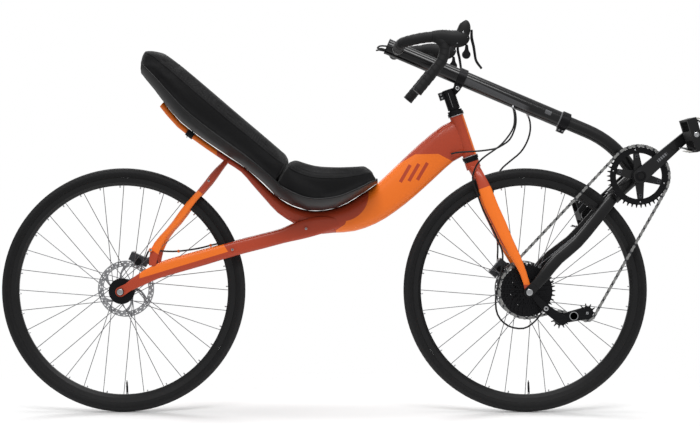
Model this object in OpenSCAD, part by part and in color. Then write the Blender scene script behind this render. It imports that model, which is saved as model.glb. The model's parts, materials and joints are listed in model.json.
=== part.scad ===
// Recumbent bicycle with front-wheel drive: the boom, cranks, chain and front wheel all steer together.
// Frame: +X forward, +Y to the rider's left, +Z up, origin at the rider's seat point on the cushion.

/* [Wheels] */
// Bead seat diameter of both rims
bead_d = 622; // [500:1:640]
// Width and height of the inflated tyres
tyre_w = 32; // [25:1:38]
// Depth of the rim, from its brake edge to its inner edge
rim_h = 22; // [16:1:40]
// Number of spokes in each wheel
spoke_count = 32; // [24:8:40]
// Thickness of a spoke
spoke_d = 2; // [1.6:0.1:2.4]
// Distance between the two axles
wheelbase = 1131; // [1100:1:1400]
// Height of the seat point over the floor
seat_h = 681; // [640:1:760]
// Front axle, forward of the seat point
front_axle_x = 533; // [525:1:545]
// Width over the front hub, between the fork ends
front_hub_w = 142; // [138:1:176]
// Width over the rear hub, between the dropouts
rear_hub_w = 135; // [130:1:165]
// Diameter of the through axles
axle_d = 12; // [9:0.5:15]
// Diameter of the brake discs
disc_d = 160; // [140:1:180]

/* [Head and fork] */
// Lean of the steering axis from upright, in degrees
head_lean = 18.5; // [15:0.5:22]
// Middle of the head tube, forward of the seat point
head_x = 358; // [350:1:366]
// Middle of the head tube, above the seat point
head_z = 96; // [90:1:104]
// Length of the head tube
head_len = 120; // [100:1:140]
// Outer diameter of the head tube
head_d = 39; // [36:0.5:48]
// Diameter of the steerer
steerer_d = 28.6; // [25.4:0.1:32]
// Height of a headset cup
cup_h = 16; // [10:1:20]

/* [Boom and drive] */
// Outer diameter of the boom
boom_d = 45; // [41:0.5:54]
// Diameter of the sliding front part of the boom
slider_d = 38.6; // [34:0.1:39]
// Slope of the boom below level, in degrees
boom_slope = 23; // [20:0.5:28]
// Bottom bracket, forward of the seat point
crank_x = 844; // [830:1:860]
// Bottom bracket, above the seat point
crank_z = -17; // [-30:1:0]
// Length of a crank, from its axle to the pedal's
crank_len = 170; // [140:1:204]
// Teeth of the chainring
ring_teeth = 42; // [34:1:46]
// Teeth of the largest sprocket
cassette_teeth = 38; // [30:1:42]
// Number of sprockets
sprocket_count = 10; // [8:1:10]
// Teeth of a derailleur pulley
pulley_teeth = 11; // [9:1:13]
// Middle of the chainring, right of the middle plane
ring_y = 46; // [44:0.5:50]
// Middle of the largest sprocket, right of the middle plane
cassette_y = 30; // [28:0.5:33]

/* [Seat] */
// Width of the seat at the hips
seat_w = 310; // [260:1:380]
// Width of the seat at its front edge
seat_nose_w = 236; // [190:1:290]
// Width of the seat at the shoulders
seat_top_w = 262; // [210:1:320]
// Wall of the seat shell
shell_t = 4; // [3:0.5:6]
// Height that the shell's sides stand round the cushion
shell_side = 24; // [16:1:36]

/* [Handlebar] */
// Width over the drops, between their middles
bar_w = 420; // [360:1:480]
// Diameter of the bar at its clamp
bar_clamp_d = 31.8; // [25.4:0.1:35]
// Diameter of the bar with its tape
tape_d = 30; // [26:1:34]
// Length of the untaped middle of the bar
bar_bare = 150; // [100:1:200]

/* [Fittings] */
// Bore of the threaded bosses on the stays
boss_bore_d = 5; // [4:0.1:6]
// Depth of the threaded bosses
boss_depth = 10; // [8:1:12]
// Diameter of the brake hoses and the gear cable
cable_d = 5; // [4:0.1:6]

/* [Hidden] */
$fn = 64;

// Clearances
run_gap = 0.35;
seat_gap = 0.3;
face_gap = 0.5;

// Wheel places
tyre_r = bead_d / 2 + tyre_w;
axle_z = tyre_r - seat_h;
front_axle = [front_axle_x, 0, axle_z];
rear_axle_at = [front_axle_x - wheelbase, 0, axle_z];
rim_out_r = bead_d / 2 + 5;
rim_in_r = rim_out_r - rim_h;
rim_w = 0.75 * tyre_w;
flange_r = 29;
hub_barrel_r = 15;
flange_half = 1.6;
disc_inset = 15.5;
disc_t = 1.8;

// Colours
orange = "#ff7a22";
black = "#1c1c1e";
tar = "#262628";
steel = "#b9bcc0";

// ---------------------------------------------------------------- helpers

function unit(v) = v / norm(v);
function xyz(row) = [row[0], row[1], row[2]];
function perp(v, t) = unit(v - t * (v * t));
function signed_pow(v, p) = sign(v) * pow(abs(v), p);
function flip_y(rows) = [for (r = rows) [for (i = [0:len(r) - 1]) i == 1 ? -r[i] : r[i]]];

// One point of a Catmull-Rom curve between b and c
function blend(a, b, c, d, t) =
    0.5 * (2 * b + (c - a) * t + (2 * a - 5 * b + 4 * c - d) * t * t + (3 * b - a - 3 * c + d) * t * t * t);

// A smooth curve through rows of numbers, with a number of steps between neighbours
function smooth(rows, steps) = let (n = len(rows)) concat(
    [for (i = [0:n - 2], k = [0:steps - 1])
        blend(rows[max(i - 1, 0)], rows[i], rows[i + 1], rows[min(i + 2, n - 1)], k / steps)],
    [rows[n - 1]]);

function heading(rows, i) =
    unit(xyz(rows[min(i + 1, len(rows) - 1)]) - xyz(rows[max(i - 1, 0)]));

// Points of a rounded section: half size a along u and b along v; power 2 is an ellipse
function section(c, u, v, a, b, sides, power) =
    [for (i = [0:sides - 1]) let (q = 360 * i / sides)
        c + u * a * signed_pow(cos(q), 2 / power) + v * b * signed_pow(sin(q), 2 / power)];

// A closed solid through a list of rings with equal numbers of points
module loft(rings) {
    n = len(rings[0]);
    last = len(rings) - 1;
    walls = [for (i = [0:last - 1], j = [0:n - 1]) let (a = i * n + j, b = i * n + (j + 1) % n)
        each [[a, a + n, b + n], [a, b + n, b]]];
    ends = [for (k = [0:n / 2 - 2]) let (a = k, b = k + 1, c = n - 2 - k, d = n - 1 - k, m = last * n)
        each [[a, b, c], [a, c, d], [m + c, m + b, m + a], [m + d, m + c, m + a]]];
    polyhedron([for (r = rings) each r], concat(walls, ends), convexity = 8);
}

// A tube through rows of [x, y, z, half size along "fore", half size across it]
module swept(rows, fore, sides = 16, power = 2) {
    loft([for (i = [0:len(rows) - 1]) let (t = heading(rows, i), u = perp(fore, t))
        section(xyz(rows[i]), u, cross(t, u), rows[i][3], rows[i][4], sides, power)]);
}

// The side vectors of a cord, carried from ring to ring so that it never twists
function carried(path, start) =
    [for (i = 0, u = perp(start, heading(path, 0)); i < len(path);
        i = i + 1, u = i < len(path) ? perp(u, heading(path, i)) : u) u];

// A round cord along hand-chosen points
module cord(points, d, steps = 3, sides = 8) {
    path = smooth(points, steps);
    sides_at = carried(path, [0.3, 0.9, 0.2]);
    loft([for (i = [0:len(path) - 1]) let (t = heading(path, i))
        section(path[i], sides_at[i], cross(t, sides_at[i]), d / 2, d / 2, sides, 2)]);
}

// A round bar along Y
module y_bar(at, r, y0, y1) {
    translate([at.x, y0, at.z]) rotate([-90, 0, 0]) cylinder(r = r, h = y1 - y0);
}

// The same bar on both sides, between two distances from the middle plane
module y_bars(at, r, y0, y1) {
    y_bar(at, r, y0, y1);
    y_bar(at, r, -y1, -y0);
}

// A flat plate in the XZ plane, from y0 to y1, of the 2D shape given
module y_plate(y0, y1) {
    translate([0, y1, 0]) rotate([90, 0, 0]) linear_extrude(y1 - y0) children();
}

// A round bar between two points
module bar(a, b, r) {
    d = b - a;
    translate(a) rotate([0, acos(d.z / norm(d)), atan2(d.y, d.x)]) cylinder(r = r, h = norm(d));
}

// A flat link with round ends from point a to point b, between y0 and y1
module link(y0, y1, a, b, ra, rb) {
    p = [a.x, a.z];
    q = [b.x, b.z];
    n = [p.y - q.y, q.x - p.x] / norm(q - p);
    y_bar(a, ra, y0, y1);
    y_bar(b, rb, y0, y1);
    y_plate(y0, y1) polygon([p + n * ra, q + n * rb, q - n * rb, p - n * ra]);
}

// ---------------------------------------------------------------- places

module on_steering() {
    translate([head_x, 0, head_z]) rotate([0, -head_lean, 0]) children();
}

// A point up along the steering axis, and forward of it
function steer_at(up, fore = 0) = [
    head_x - up * sin(head_lean) + fore * cos(head_lean), 0,
    head_z + up * cos(head_lean) + fore * sin(head_lean)];

head_in_r = steerer_d / 2 + 2.6;
cup_r = head_d / 2 + 3;
crown_up = -(head_len / 2 + cup_h + face_gap);
collar_up = head_len / 2 + cup_h + 2 + face_gap;
collar_h = 57;
collar_wall = 3.2;
ear_h = 22;
ear_out = 15;

// The boom's middle line: through its pivot over the steerer, falling forward
boom_r = boom_d / 2;
pivot = steer_at(collar_up + collar_h - 3, 26);
pivot_drop = boom_r + 10;
boom_dir = [cos(boom_slope), 0, -sin(boom_slope)];
boom_up = [sin(boom_slope), 0, cos(boom_slope)];
boom_mid = pivot + boom_up * pivot_drop;
boom_back = 227;
bar_back = 30;
boom_front = 326;
function boom_at(s) = boom_mid + boom_dir * s;
module on_boom(s) {
    translate(boom_at(s)) rotate([0, 90 + boom_slope, 0]) children();
}

crank_at = [crank_x, 0, crank_z];
bend_s = 463;
bend_at = boom_at(bend_s);
bend_back = 78;
shell_r = 21;
shell_w = 73;
yoke_at = crank_at + [-64, 0, -57];
crown_r = 20;

// Chain geometry
pitch = 12.7;
function pitch_r(teeth) = pitch / (2 * sin(180 / teeth));
tooth_up = 4;
tooth_down = 4.4;
tooth_t = 1.8;
sprocket_step = 3.9;
guide_at = [front_axle_x + 94, 0, axle_z - 79];
tension_at = [front_axle_x + 169, 0, axle_z - 62];

// ---------------------------------------------------------------- frame

// The side outline of the frame: [top x, top z, bottom x, bottom z, half width]
frame_rows = [
    [-485, 191, -496, 178, 12], [-437, 134, -447, 121, 13], [-361, 76, -369, 62, 14],
    [-300, 35, -308, 21, 15],
    [-257, 7, -267, -6, 16], [-222, -23, -238, -39, 18], [-177, -66, -202, -80, 21],
    [-138, -94, -164, -121, 24], [-98, -110, -119, -150, 27], [-58, -115.5, -66, -179, 30],
    [-15, -110.5, -8, -177, 31], [32, -93.5, 52, -172, 31], [76, -65.5, 112, -151, 30],
    [120, -35, 166, -118, 28], [176, 18, 224, -72, 26], [238, 76, 280, -21, 24]];
frame_end = [
    [head_x - 60, head_z + 28, head_x - 28, head_z - 72, 22],
    [steer_at(51).x, steer_at(51).z, steer_at(-52).x, steer_at(-52).z, 14]];

module main_frame() color(orange) difference() {
    loft([for (r = smooth(concat(frame_rows, frame_end), 2))
        section([(r[0] + r[2]) / 2, 0, (r[1] + r[3]) / 2], [(r[0] - r[2]) / 2, 0, (r[1] - r[3]) / 2],
            [0, -1, 0], 1, r[4], 16, 2.6)]);
    on_steering() cylinder(r = head_d / 2, h = head_len + 40, center = true);
}

module head_tube() color(orange) on_steering() difference() {
    cylinder(r = head_d / 2, h = head_len, center = true);
    cylinder(r = head_in_r, h = head_len + 2, center = true);
}

module headset_cup() difference() {
    union() {
        cylinder(r = cup_r, h = cup_h * 0.6);
        cylinder(r = cup_r - 2, h = cup_h);
    }
    translate([0, 0, -1]) cylinder(r = steerer_d / 2 + run_gap, h = cup_h + 2);
}

module headset_cups() color(black) on_steering() {
    translate([0, 0, head_len / 2]) headset_cup();
    translate([0, 0, -head_len / 2]) mirror([0, 0, 1]) headset_cup();
}

// Rear stays: [x, y, z, half depth, half thickness], the last points following the rear hub
stay_y = rear_hub_w / 2;
rear_x = rear_axle_at.x;
chain_stay_rows = [
    [14, -25, -148, 10, 4], [-20, -29, -150, 21, 6], [-62, -31, -158, 26, 8], [-104, -32, -170, 25, 9],
    [-150, -33, -185, 20, 9], [-206, -35, -200, 20, 9], [-285, -41, -220, 20, 8.5],
    [rear_x + 234, -stay_y + 20, axle_z + 95, 21, 8], [rear_x + 156, -stay_y + 9, axle_z + 73, 21, 7.5],
    [rear_x + 98, -stay_y + 1, axle_z + 55, 20, 7], [rear_x + 52, -stay_y - 3, axle_z + 31, 17, 5.5],
    [rear_x + 20, -stay_y - 4, axle_z + 12, 12, 4]];
seat_stay_rows = [
    [-306, -8, 28, 10, 6], [-332, -14, -1, 12.5, 7], [-358, -21, -35, 13, 7.5], [-384, -27, -66, 12, 7.5],
    [-412, -33, -99, 12, 7.5], [rear_x + 150, -stay_y + 26, axle_z + 190, 13, 7.5],
    [rear_x + 116, -stay_y + 13, axle_z + 150, 13, 7.5], [rear_x + 94, -stay_y + 4, axle_z + 112, 13, 7],
    [rear_x + 88, -stay_y, axle_z + 72, 10, 6]];
dropout_t = 8;

// A threaded boss standing out of the right stay, and its bore: middle of the stay's outer face
chain_bosses = [[-84, -40, -164], [-289, -49, -222]];
seat_bosses = [[-357, -28, -30], [rear_x + 84, -stay_y - 5, axle_z + 116]];
boss_r = 5.5;
boss_out = 3;

module boss(at) {
    y_bar(at, boss_r, at.y - boss_out, at.y - boss_out + boss_depth + 2);
}

module boss_bore(at) {
    y_bar(at, boss_bore_d / 2, at.y - boss_out - 1, at.y - boss_out + boss_depth);
}

module both_sides() {
    children();
    mirror([0, 1, 0]) children();
}

module chain_stays() color(orange) both_sides() difference() {
    union() {
        swept(smooth(chain_stay_rows, 2), [0, 0, 1], power = 2.6);
        link(-stay_y - dropout_t, -stay_y, rear_axle_at, rear_axle_at + [34, 0, 20], 14, 11);
        for (at = chain_bosses) boss(at);
    }
    y_bar(rear_axle_at, axle_d / 2, -stay_y - 20, -stay_y + 20);
    y_bar(rear_axle_at, 17, -stay_y, -stay_y + 20);
    for (at = chain_bosses) boss_bore(at);
}

module seat_stays() color(orange) both_sides() difference() {
    union() {
        swept(smooth(seat_stay_rows, 2), [1, 0, 1], power = 2.4);
        for (at = seat_bosses) boss(at);
    }
    for (at = seat_bosses) boss_bore(at);
}

// ---------------------------------------------------------------- seat

// The seat from its front edge to its top: [x, z of the cushion's top, slope of the seat in degrees,
// depth of cushion and shell together, half width]
base_rows = [
    [106, -4, -12, 35, seat_nose_w / 2], [88, 4, -8, 55, seat_nose_w / 2 + 8],
    [55, 2, -2, 78, seat_nose_w / 2 + 16], [0, 0, 0, 106, seat_w / 2 - 12],
    [-60, 4, 10, 119, seat_w / 2], [-112, 20, 24, 110, seat_w / 2]];
back_rows = [
    [-126, 26, 31, 102, seat_w / 2], [-146, 38, 37, 94, seat_w / 2], [-200, 84, 41, 95, seat_w / 2 - 4],
    [-290, 160, 41, 108, seat_w / 2 - 14], [-360, 220, 40, 113, seat_top_w / 2 + 10],
    [-415, 267, 39, 103, seat_top_w / 2 + 4], [-450, 295, 38, 92, seat_top_w / 2 - 1],
    [-484, 320, 34, 83, seat_top_w / 2 - 6], [-508, 334, 26, 76, seat_top_w / 2 - 12]];
head_rows = [
    [-524, 339, 18, 68, seat_top_w / 2 - 22], [-534, 340, 12, 56, seat_top_w / 2 - 38]];
seat_path = smooth(concat(base_rows, back_rows, head_rows), 2);
crease = 2 * len(base_rows);
shell_end = 2 * (len(base_rows) + len(back_rows)) - 2;

// The edges curl up by these amounts where the seat is full_depth deep, and by less where it is thinner
full_depth = 100;
edge_rise = shell_side + 6;
dish = 7;
shoulder = 26;

// The point of the seat at a row, a share across (-1 to 1) and a depth below the cushion's top line
function seat_point(r, across, deep, inset = 0) =
    [r[0] - sin(r[2]) * deep, across * (r[4] - inset), r[1] - cos(r[2]) * deep];

// How far the edges of the tray stand over its middle, at a share across
function tray_at(across) = pow(abs(across), 4);

// One ring of the tray: its outside from edge to edge, then its inside back
function shell_ring(r) = let (steps = 10, deep = r[3], rise = edge_rise * deep / full_depth) concat(
    [for (k = [0:steps]) let (w = -cos(180 * k / steps)) seat_point(r, w, deep - rise * tray_at(w))],
    [for (k = [steps:-1:0]) let (w = -cos(180 * k / steps))
        seat_point(r, w, deep - shell_t - (rise - shell_t) * tray_at(w), shell_t)]);

// One ring of a cushion: it fills the tray and stands above it, slightly dished
function pad_ring(r) = let (
        steps = 10, deep = r[3], share = deep / full_depth,
        gap = shell_t + seat_gap, rise = edge_rise * share + 1)
    concat(
        [for (k = [0:steps]) let (w = -cos(180 * k / steps))
            seat_point(r, w, deep - gap - (rise - gap) * tray_at(w), gap)],
        [for (k = [steps:-1:0]) let (w = -cos(180 * k / steps))
            seat_point(r, w, -dish * share * pow(abs(w), 2) + shoulder * share * pow(abs(w), 6), gap)]);

module seat_shell() color(black) loft([for (i = [0:shell_end]) shell_ring(seat_path[i])]);

// The two cushions meet at the crease with a small gap
crease_share = 0.03;
base_end = (1 - crease_share) * seat_path[crease] + crease_share * seat_path[crease - 1];

module base_cushion() color(tar)
    loft([for (r = concat([for (i = [0:crease - 1]) seat_path[i]], [base_end])) pad_ring(r)]);

module back_cushion() color(tar)
    loft([for (i = [crease:len(seat_path) - 1]) pad_ring(seat_path[i])]);

// A webbing band under the rail: its middle, and the rail's half depth and half width there
strap_at = [-409, 0, 102.5];
rail_half = [8.2, 13.4];
strap_t = 2;
strap_gap = 2;
module seat_strap() color(black) translate(strap_at) rotate([0, 90 + 37.5, 0]) difference() {
    scale([(rail_half.x + strap_gap + strap_t) / (rail_half.y + strap_gap + strap_t), 1, 1])
        cylinder(r = rail_half.y + strap_gap + strap_t, h = 22, center = true);
    scale([(rail_half.x + strap_gap) / (rail_half.y + strap_gap), 1, 1])
        cylinder(r = rail_half.y + strap_gap, h = 24, center = true);
    translate([1 - rail_half.x - 40, -20, -20]) cube(40);
}

module rear_axle() color(black) {
    end_y = stay_y + dropout_t;
    y_bar(rear_axle_at, axle_d / 2 - 0.1, -end_y - 5, end_y + 5);
    y_bars(rear_axle_at, 10, end_y + 0.1, end_y + 7);
}

// ---------------------------------------------------------------- brakes

// A disc calliper over a disc's edge: at the axle, the angle round it, and the disc's middle plane
caliper_r = disc_d / 2 + 8;
bracket_t = 3;
function caliper_at(axle, angle) = axle + caliper_r * [cos(angle), 0, sin(angle)];
module caliper(axle, angle, disc_y) {
    translate([axle.x, disc_y, axle.z]) rotate([0, -angle, 0]) translate([caliper_r, 0, 0]) difference() {
        union() {
            translate([-8, -13, -27]) cube([24, 26, 54]);
            for (s = [-1, 1]) translate([-2, s * 13, 0]) rotate([s * -90, 0, 0]) cylinder(r = 12, h = 3);
        }
        translate([-9, -2.4, -28]) cube([17, 4.8, 56]);
    }
}

rear_disc_y = stay_y - disc_inset;
front_disc_y = front_hub_w / 2 - disc_inset;
rear_caliper_angle = 66;
front_caliper_angle = 140;

// Each calliper has an adapter that reaches its stay or fork leg
module rear_caliper() color(black) {
    end_y = stay_y - 8 - seat_gap;
    caliper(rear_axle_at, rear_caliper_angle, rear_disc_y);
    link(end_y - bracket_t, end_y, caliper_at(rear_axle_at, rear_caliper_angle + 8),
        rear_axle_at + [82, 0, 76], 12, 8);
}

module front_caliper() color(black) {
    caliper(front_axle, front_caliper_angle, front_disc_y);
    link(fork_y - 10, fork_y - 10 + bracket_t, caliper_at(front_axle, front_caliper_angle - 6),
        front_axle + [-42, 0, 66], 12, 8);
}

module disc(axle, y) {
    window_in = 34;
    window_out = disc_d / 2 - 16;
    y_plate(y - disc_t / 2, y + disc_t / 2) translate([axle.x, axle.z]) difference() {
        circle(disc_d / 2);
        circle(22.2);
        for (k = [0:5]) rotate(60 * k) polygon([
            for (q = [-20:4:20]) window_in * [cos(q), sin(q)],
            for (q = [20:-4:-20]) window_out * [cos(q), sin(q)]]);
    }
}

module rear_disc() color(steel) disc(rear_axle_at, rear_disc_y);
module front_disc() color(steel) disc(front_axle, front_disc_y);

// ---------------------------------------------------------------- wheels

// The round shapes of a wheel are turned about the Y axis at the origin, then moved to their axle
module on_axle(axle) {
    translate(axle) rotate([-90, 0, 0]) children();
}

module tyre(axle) on_axle(axle) rotate_extrude() difference() {
    translate([tyre_r - tyre_w / 2, 0]) circle(tyre_w / 2);
    translate([rim_out_r - tyre_w - 20, -tyre_w]) square([tyre_w + 20, 2 * tyre_w]);
}

module rim(axle) on_axle(axle) rotate_extrude() difference() {
    polygon([[rim_out_r - 0.1, -rim_w / 2], [rim_out_r - 0.1, rim_w / 2], [rim_out_r - 13, rim_w / 2],
        [rim_in_r, rim_w / 5], [rim_in_r, -rim_w / 5], [rim_out_r - 13, -rim_w / 2]]);
    translate([rim_out_r - 5, -rim_w / 2 + 2]) square([6, rim_w - 4]);
}

// How far a spoke's head lies from the middle of its flange: an outer one leans back over the flange's edge
inner_spoke_off = flange_half + spoke_d / 2 + 0.2;
function outer_spoke_off(flange_y) = flange_half + spoke_d / 2 + 0.1 + flange_y / 18;

// Spokes crossing three others: half from each flange, from its outer and inner faces in turn
module spokes(axle, left_y, right_y) {
    side_count = spoke_count / 2;
    step = 360 / side_count;
    for (s = [0, 1], k = [0:side_count - 1]) {
        out = k % 2 == 0 ? 1 : -1;
        flange_y = s == 0 ? left_y : -right_y;
        off = out > 0 ? outer_spoke_off(flange_y) : -inner_spoke_off;
        fy = (s == 0 ? 1 : -1) * (flange_y + off);
        hub_q = step * k + (s == 0 ? 0 : step / 2);
        rim_q = hub_q + out * 3 * step;
        from = [(flange_r - 3) * cos(hub_q), fy, (flange_r - 3) * sin(hub_q)];
        to = [(rim_in_r - 0.2) * cos(rim_q), (s == 0 ? 1 : -1) * 2.2, (rim_in_r - 0.2) * sin(rim_q)];
        translate(axle) bar(from, to, spoke_d / 2);
    }
}

module hub_flange(y) translate([0, 0, y - flange_half]) cylinder(r = flange_r, h = 2 * flange_half);

module hub_shell(axle, left_y, right_y, end_y) on_axle(axle) difference() {
    union() {
        translate([0, 0, -end_y]) cylinder(r = 10, h = 2 * end_y);
        translate([0, 0, right_y]) cylinder(r = hub_barrel_r, h = left_y - right_y);
        hub_flange(left_y);
        hub_flange(right_y);
        children();
    }
    translate([0, 0, -end_y - 1]) cylinder(r = axle_d / 2 + run_gap, h = 2 * end_y + 2);
}

rear_left_y = 30;
rear_right_y = -30;
front_left_y = 34;
front_right_y = -20;
body_r = 16.6;

module rear_tyre() color(tar) tyre(rear_axle_at);
module front_tyre() color(tar) tyre(front_axle);
module rear_rim() color(black) rim(rear_axle_at);
module front_rim() color(black) rim(front_axle);
module rear_spokes() color(steel) spokes(rear_axle_at, rear_left_y, rear_right_y);
module front_spokes() color(steel) spokes(front_axle, front_left_y, front_right_y);

module rear_hub() color(black) hub_shell(rear_axle_at, rear_left_y, rear_right_y, stay_y - face_gap) {
    translate([0, 0, rear_left_y]) cylinder(r = 22, h = rear_disc_y - disc_t / 2 - rear_left_y);
    translate([0, 0, -50]) cylinder(r = 36, h = 8);
    translate([0, 0, -50]) cylinder(r = 20, h = 20);
}

module front_hub() color(black)
    hub_shell(front_axle, front_left_y, front_right_y, front_hub_w / 2 - face_gap) {
        translate([0, 0, front_left_y]) cylinder(r = 22, h = front_disc_y - disc_t / 2 - front_left_y);
        translate([0, 0, -cassette_y - sprocket_step * (sprocket_count - 1) - 1]) cylinder(r = body_r,
            h = 40);
    }

// ---------------------------------------------------------------- sprockets and chain

// A toothed outline: a trapezoid tooth on each pitch
module toothed_2d(teeth) {
    r = pitch_r(teeth);
    step = 360 / teeth;
    polygon([for (k = [0:teeth - 1]) each [
        (r - tooth_down) * [cos((k - 0.24) * step), sin((k - 0.24) * step)],
        (r + tooth_up) * [cos((k - 0.07) * step), sin((k - 0.07) * step)],
        (r + tooth_up) * [cos((k + 0.07) * step), sin((k + 0.07) * step)],
        (r - tooth_down) * [cos((k + 0.24) * step), sin((k + 0.24) * step)]]]);
}

// Tooth counts from the largest sprocket down
function sprocket_teeth(k) = round(cassette_teeth * pow(11 / cassette_teeth, k / (sprocket_count - 1)));

module cassette() color(steel) {
    for (k = [0:sprocket_count - 1]) {
        y = -cassette_y - k * sprocket_step;
        y_plate(y - tooth_t / 2, y + tooth_t / 2) translate([front_axle.x, front_axle.z]) difference() {
            toothed_2d(sprocket_teeth(k));
            circle(body_r + 0.2);
            if (k < 5) for (j = [0:7]) rotate(45 * j + 7 * k)
                translate([pitch_r(sprocket_teeth(k)) * 0.5 + 8,
                    0]) circle(pitch_r(sprocket_teeth(k)) * 0.16);
        }
        if (k < sprocket_count - 1) y_plate(y - sprocket_step + tooth_t / 2 + 0.05, y - tooth_t / 2 - 0.05)
            translate([front_axle.x, front_axle.z]) difference() {
                circle(body_r + 3);
                circle(body_r + 0.2);
            }
    }
}

module pulleys() color(tar) for (at = [guide_at, tension_at])
    y_plate(-cassette_y - tooth_t / 2, -cassette_y + tooth_t / 2) difference() {
        translate([at.x, at.z]) toothed_2d(pulley_teeth);
        translate([at.x, at.z]) circle(4.2);
    }

// The chain's wheels in its order of travel: [x, z, pitch radius, turn (1 is anticlockwise), y]
chain_wheels = [
    [crank_x, crank_z, pitch_r(ring_teeth), 1, -ring_y],
    [front_axle.x, front_axle.z, pitch_r(cassette_teeth), 1, -cassette_y],
    [guide_at.x, guide_at.z, pitch_r(pulley_teeth), -1, -cassette_y],
    [tension_at.x, tension_at.z, pitch_r(pulley_teeth), 1, -cassette_y]];
tail = 42;

// Direction of the straight run from wheel a to wheel b
function run_angle(a, b) = let (dx = b[0] - a[0], dz = b[1] - a[1])
    atan2(dz, dx) - asin((b[3] * b[2] - a[3] * a[2]) / norm([dx, dz]));

// Where a run at angle q leaves or meets wheel w
function touch(w, q) = [w[0] + w[3] * w[2] * sin(q), w[1] - w[3] * w[2] * cos(q)];
function wrap(q) = q < 0 ? wrap(q + 360) : q >= 360 ? wrap(q - 360) : q;

// Points round the chain: [x, z, y, direction of travel]
chain_path = [for (k = [0:3]) let (
        w = chain_wheels[k], next = chain_wheels[(k + 1) % 4],
        q_in = run_angle(chain_wheels[(k + 3) % 4], w), q_out = run_angle(w, next),
        turn = w[3] > 0 ? wrap(q_out - q_in) : -wrap(q_in - q_out),
        count = max(2, ceil(abs(turn) / (w[2] > 50 ? 9 : 22))),
        from = touch(w, q_out), to = touch(next, q_out), dir = [cos(q_out), sin(q_out)])
    each concat(
        [for (i = [0:count]) let (q = q_in + turn * i / count) [touch(w, q).x, touch(w, q).y, w[4], q]],
        w[4] == next[4] ? [] : [
            [from.x + tail * dir.x, from.y + tail * dir.y, w[4], q_out],
            [to.x - tail * dir.x, to.y - tail * dir.y, next[4], q_out]])];

// One row of the chain's side plates, between two distances right of its middle
module chain_row(y0, y1) {
    n = len(chain_path);
    half = 4.1;
    points = [for (p = chain_path) let (at = [p[0], p[2], p[1]], out = half * [sin(p[3]), 0, -cos(p[3])])
        each [at - out - [0, y1, 0], at + out - [0, y1, 0], at + out - [0, y0, 0], at - out - [0, y0, 0]]];
    faces = [for (i = [0:n - 1], j = [0:3])
        let (next = ((i + 1) % n) * 4, a = i * 4 + j, b = i * 4 + (j + 1) % 4,
            c = next + (j + 1) % 4, d = next + j)
            each [[a, c, d], [a, b, c]]];
    polyhedron(points, faces, convexity = 10);
}

module chain() color(steel) {
    chain_row(1.25, 2.5);
    chain_row(-2.5, -1.25);
}

// ---------------------------------------------------------------- steering parts

fork_y = front_hub_w / 2;
fork_top = steer_at(crown_up - 14);
// Right half of the fork, from its crown to its end: [x, y, z, half depth, half thickness]
fork_half = [
    [fork_top.x, 0, fork_top.z, 17, 9], [fork_top.x + 5, -20, fork_top.z - 9, 15, 9],
    [fork_top.x + 17, -32, fork_top.z - 32, 14, 8.5], [fork_top.x + 30, -38, fork_top.z - 66, 18, 8],
    [fork_top.x + 48, -44, fork_top.z - 117, 19.5, 8], [fork_top.x + 69, -50, fork_top.z - 162, 18.6, 7.5],
    [front_axle_x - 58, -fork_y + 15, axle_z + 141, 17, 7.5],
    [front_axle_x - 34, -fork_y + 9, axle_z + 96, 13.3, 7],
    [front_axle_x - 14, -fork_y + 3, axle_z + 51, 9.5, 6.5],
    [front_axle_x - 2, -fork_y - 4, axle_z + 8, 9, 4]];
drop_t = 8;

module fork() color(orange) difference() {
    union() {
        swept(smooth(concat([for (i = [len(fork_half) - 1:-1:1]) fork_half[i]], flip_y(fork_half)), 2),
            [1, 0, 0], power = 2.4);
        on_steering() translate([0, 0, crown_up - 20]) cylinder(r = head_d / 2 + 1, h = 20);
        y_bars(front_axle, 12, fork_y, fork_y + drop_t);
    }
    on_steering() translate([0, 0, crown_up - 12]) cylinder(r = steerer_d / 2, h = 20);
    y_bar(front_axle, axle_d / 2, -fork_y - 30, fork_y + 30);
    y_bars(front_axle, 15, fork_y - 20, fork_y);
}

module steerer() color(black) on_steering()
    translate([0, 0, crown_up - 12]) cylinder(r = steerer_d / 2,
        h = collar_up + collar_h - crown_up + 12 - 4);

// The collar at the top of the steerer, with its pinch ear behind and its pivot lug in front
module boom_mount() color(black) difference() {
    union() {
        on_steering() translate([0, 0, collar_up]) cylinder(r = steerer_d / 2 + collar_wall, h = collar_h);
        on_steering() translate([-steerer_d / 2 - ear_out, -9, collar_up + collar_h - ear_h])
            cube([ear_out + 1, 18, ear_h]);
        link(-8, 8, pivot, steer_at(collar_up + collar_h - 14, 8), 10, 9);
    }
    on_steering() translate([0, 0, collar_up - 1]) cylinder(r = steerer_d / 2, h = collar_h - 3);
    y_bar(pivot, 4, -20, 20);
    for (up = [6, 16]) on_steering() translate([-steerer_d / 2 - 9, 0, collar_up + collar_h - ear_h + up])
        rotate([90, 0, 0]) cylinder(r = 2.2, h = 40, center = true);
}

clamp_rows = [0, boom_front - 12];
clamp_t = 4;

module boom_tube() color(black) difference() {
    on_boom(-boom_back) cylinder(r = boom_r, h = boom_back + boom_front);
    on_boom(-boom_back - 1) cylinder(r = slider_d / 2 + 0.15, h = boom_back + boom_front + 2);
    y_bars(bar_at, bar_clamp_d / 2, -1, boom_d);
}

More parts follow.
